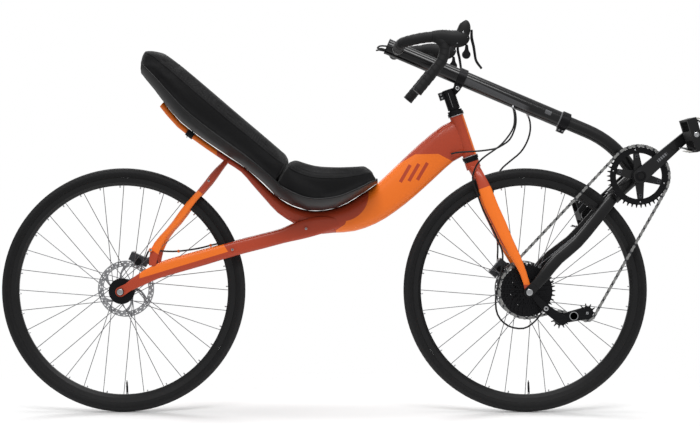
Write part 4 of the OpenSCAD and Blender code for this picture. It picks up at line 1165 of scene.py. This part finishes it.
def shell_trim():
    """A rounded bead along the rim of the seat shell."""
    shape = Shape()
    rows = seat_path[:shell_last + 1]
    for s in (-1, 1):
        path = [seat_point(r, s, r[3] - edge_rise * r[3] / full_depth, 2.0) for r in rows]
        shape.tube(path, 2.6, 10)
    for row in (rows[0], rows[-1]):
        rise = edge_rise * row[3] / full_depth
        path = [seat_point(row, w, row[3] - 2 - rise * w ** 4, 1.5) for w in np.linspace(-1, 1, 41)]
        shape.tube(path, 2.4, 10)
    make("shell_trim", shape, "frame", [shell_lacquer], 60)


def seat_fittings():
    """The bars of the strap's buckle."""
    shape = Shape()
    low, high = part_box("seat_strap")
    middle = np.array((low + high) / 2) / MM
    for k in (-1, 1):
        shape.tube([middle + [k * 8, -17.6, k * 6 + end] for end in (-4, 4)], 1.1, 8)
    make("strap_buckle", shape, "frame", [black_alloy])


# ---------------------------------------------------------------- brakes, derailleur and hoses

def caliper_fittings(name, axle, angle, disc_y, body):
    """Piston caps, mounting bolts, cooling ribs and the bolt that holds the hose."""
    shape = Shape()
    out, along = outward(math.radians(angle)), outward(math.radians(angle + 90))
    middle = axle + out * 88 + [0, disc_y, 0]
    for s in (-1, 1):
        shape.lathe(middle - out * 2 + [0, s * 16, 0], (0, s, 0),
                    [(10.5, -0.4), (10.5, 0.8), (8.5, 1.4), (7.5, 1.2), (0, 1.2)], 30, 2)
        bolt(shape, middle + along * s * 20 + out * 16, out, 4, 4)
        for k in (-1, 0, 1):
            fin = middle + out * 15.6 + along * (k * 6)
            shape.tube([fin - [0, 11, 0], fin + [0, 11, 0]], 0.9, 6, 2)
    bolt(shape, middle + along * 22 + [0, 13, 0], ALONG_Y, 4.2, 3.4)
    make(name, shape, body, [silver, painted_recess_shade, black_alloy])


def derailleur_fittings():
    """Bolts and bushes of the pulleys, the mounting bolt, the pivot's cap and a ring on the cage."""
    shape = Shape()
    body = front_axle + [48, 0, -46]
    cage_face = np.array([0, -36.3, 0])
    for at in (guide_at, tension_at):
        bolt(shape, at + cage_face, RIGHT, 3.6, 1.4)
    bolt(shape, body + [0, -77.2, 0], RIGHT, 6.5, 3)
    shape.lathe(guide_at + [0, -58.2, 0], RIGHT,
                [(15, 0), (14, 1.6), (9, 2.4), (4, 2.4), (3.6, 1), (0, 1)], 36, 2)
    shape.lathe((guide_at + tension_at) / 2 + cage_face, RIGHT,
                [(12.4, 0), (12.4, 0.6), (10.4, 0.6), (10.4, 0)], 36)
    for at in (guide_at, tension_at):
        shape.lathe(at + [0, -31.2, 0], RIGHT, [(6.4, -1), (6.4, 0.6), (4.3, 0.6), (4.3, -1)], 24)
    make("derailleur_fittings", shape, "steering", [silver, painted_recess_shade, black_alloy])


def hose_fittings():
    """Ferrules where hoses and the cable end, and clips along the fork and the stay."""
    shape = Shape()
    collars(shape, [((462.4, 55.5, -259.3), (0.05, -0.1, -1)), ((574.1, -60, -393.3), (1, 0.05, 1.3)),
                    ((497, -14, 176), (0.15, -0.3, -1)), ((541.5, 6, 155), (0.3, 0.2, -1)),
                    ((500.5, -8, 173), (0.2, -0.25, -1))], 5, [(3.4, 0), (3.7, 0.6), (3.7, 8), (3.1, 9)], 16)
    collars(shape, [((457, 63, -160), (0.2, 0.1, -1)), ((450, -57, -196), (0.3, -0.3, -1)),
                    ((449, 59, -120), (0.2, 0.1, -1)), ((430, -50, -152), (0.4, -0.15, -1))],
            2, [(3.1, 0), (3.8, 0.4), (3.8, 3.6), (3.1, 4)], 14, 1)
    make("hose_ends", shape, "steering", [silver, black_alloy])
    clip = Shape()
    collars(clip, [((-356, 46, -214), (-1, 0.1, -0.3)), ((-448, 50, -231), (-1, 0.1, -0.1)),
                   ((-322, 43.5, -206), (-1, 0, -0.2))], 3, [(3.1, 0), (4.2, 0.5), (4.2, 5.5), (3.1, 6)], 14)
    make("stay_clips", clip, "frame", [chain_stay_paint])


def bending_hose():
    """The rear brake's hose between the boom and the frame. On the bicycle it bends as the bars turn; here it
    is one fixed tube on neither body.
    """
    points = [[500.5, -8, 173], [504.5, -12, 158], [505, -17, 134], [499, -22, 110], [485, -26, 84],
              [461, -29, 67], [442, -31, 59], [405, -32, 53.5], [368, -31, 51], [340, -28.5, 49],
              [322, -25.5, 45]]
    shape = Shape().tube(smooth(points, 8), 2.5, 12)
    piece = make("steering_hose_skin", shape, None, [hose_jacket], 60, ["steering_hose"])
    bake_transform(piece)


# ---------------------------------------------------------------- all the pieces

frame_bolts()
front_axle_caps()
head_fittings()
boom_fittings()
bracket_fittings()
crank_fittings()
pedal_fittings("right_pedal_fittings", right_pedal_at, -1, "pedal_right")
pedal_fittings("left_pedal_fittings", left_pedal_at, 1, "pedal_left")
wheel_fittings("rear_wheel_fittings", rear_axle, "rear_wheel", (-8, 8, 20))
wheel_fittings("front_wheel_fittings", front_axle, "front_wheel", (0, 14))
rotor("rear_rotor", rear_axle, rear_disc_y, "rear_disc", "rear_wheel", rear_disc_steel)
rotor("front_rotor", front_axle, front_disc_y, "front_disc", "front_wheel", front_disc_steel)
chain_links()
bar_wraps()
lever_fittings()
base_pad = cushion("base_pad", "base_cushion", seat_path[:crease + 1])
back_pad = cushion("back_pad", "back_cushion", seat_path[crease + 1:])
seat_seams("base_piping", base_pad, seat_path[3:crease - 1])
seat_seams("back_piping", back_pad, seat_path[crease + 3:-3])
cross_seams(back_pad, [crease + 14, crease + 34])
shell_trim()
seat_fittings()
caliper_fittings("rear_caliper_fittings", rear_axle, 66, rear_disc_y, "frame")
caliper_fittings("front_caliper_fittings", front_axle, 140, front_disc_y, "steering")
derailleur_fittings()
hose_fittings()
bending_hose()


# ---------------------------------------------------------------- floor and light

def make_floor():
    """A pale floor that fades into the backdrop a little way round the wheels."""
    mesh = bpy.data.meshes.new("studio_floor")
    reach = 14.0
    level = floor_z * MM - 0.0005
    mesh.from_pydata([(reach * x, reach * y, level) for x, y in circle(64)], [], [tuple(range(64))])
    finish = Finish("floor_finish", base_color=srgb(246, 246, 246), roughness=0.75)
    point, (x, y, z) = finish.place()
    far = (((x * x * 0.14 + y * y) ** 0.5 - 0.25) * 1.6).most(0).least(1)
    clear = finish.node("BsdfTransparent", {}, {})
    shown = Wire(finish, finish.shader.outputs[0])
    faded = finish.node("MixShader", {}, {0: far, 1: shown, 2: clear})
    output = next(n for n in finish.tree.nodes if n.type == "OUTPUT_MATERIAL")
    finish.tree.links.new(faded.socket, output.inputs[0])
    floor = bpy.data.objects.new("studio_floor", mesh)
    mesh.materials.append(finish.material)
    scene.collection.objects.link(floor)


def area_light(name, at, toward, size, power):
    lamp = bpy.data.lights.new(name, "AREA")
    lamp.shape = "RECTANGLE"
    lamp.size, lamp.size_y = size
    lamp.energy = power
    light = bpy.data.objects.new(name, lamp)
    light.location = at
    light.rotation_mode = "QUATERNION"
    light.rotation_quaternion = (Vector(toward) - Vector(at)).to_track_quat("-Z", "Y")
    scene.collection.objects.link(light)


def make_light():
    """A bright even backdrop and large soft lamps above both sides."""
    world = bpy.data.worlds.new("studio")
    scene.world = world
    world.use_nodes = True
    nodes, links = world.node_tree.nodes, world.node_tree.links
    backdrop = nodes["Background"]
    backdrop.inputs[0].default_value = (1, 1, 1, 1)
    backdrop.inputs[1].default_value = 1.0
    glow = nodes.new("ShaderNodeBackground")
    glow.inputs[0].default_value = (1, 1, 1, 1)
    glow.inputs[1].default_value = 0.5
    seen, both_ways = nodes.new("ShaderNodeLightPath"), nodes.new("ShaderNodeMixShader")
    links.new(seen.outputs["Is Camera Ray"], both_ways.inputs[0])
    links.new(glow.outputs[0], both_ways.inputs[1])
    links.new(backdrop.outputs[0], both_ways.inputs[2])
    links.new(both_ways.outputs[0], nodes["World Output"].inputs[0])
    area_light("key_light", (0.5, -3.0, 3.2), (0.1, 0, -0.1), (3.2, 1.2), 95)
    area_light("top_light", (0, 0, 3.4), (0, 0, 0), (4.0, 1.2), 75)
    area_light("fill_light", (-0.6, 3.2, 2.4), (0, 0, -0.1), (3.2, 1.2), 60)
    scene.view_settings.view_transform = "Standard"


make_floor()
make_light()
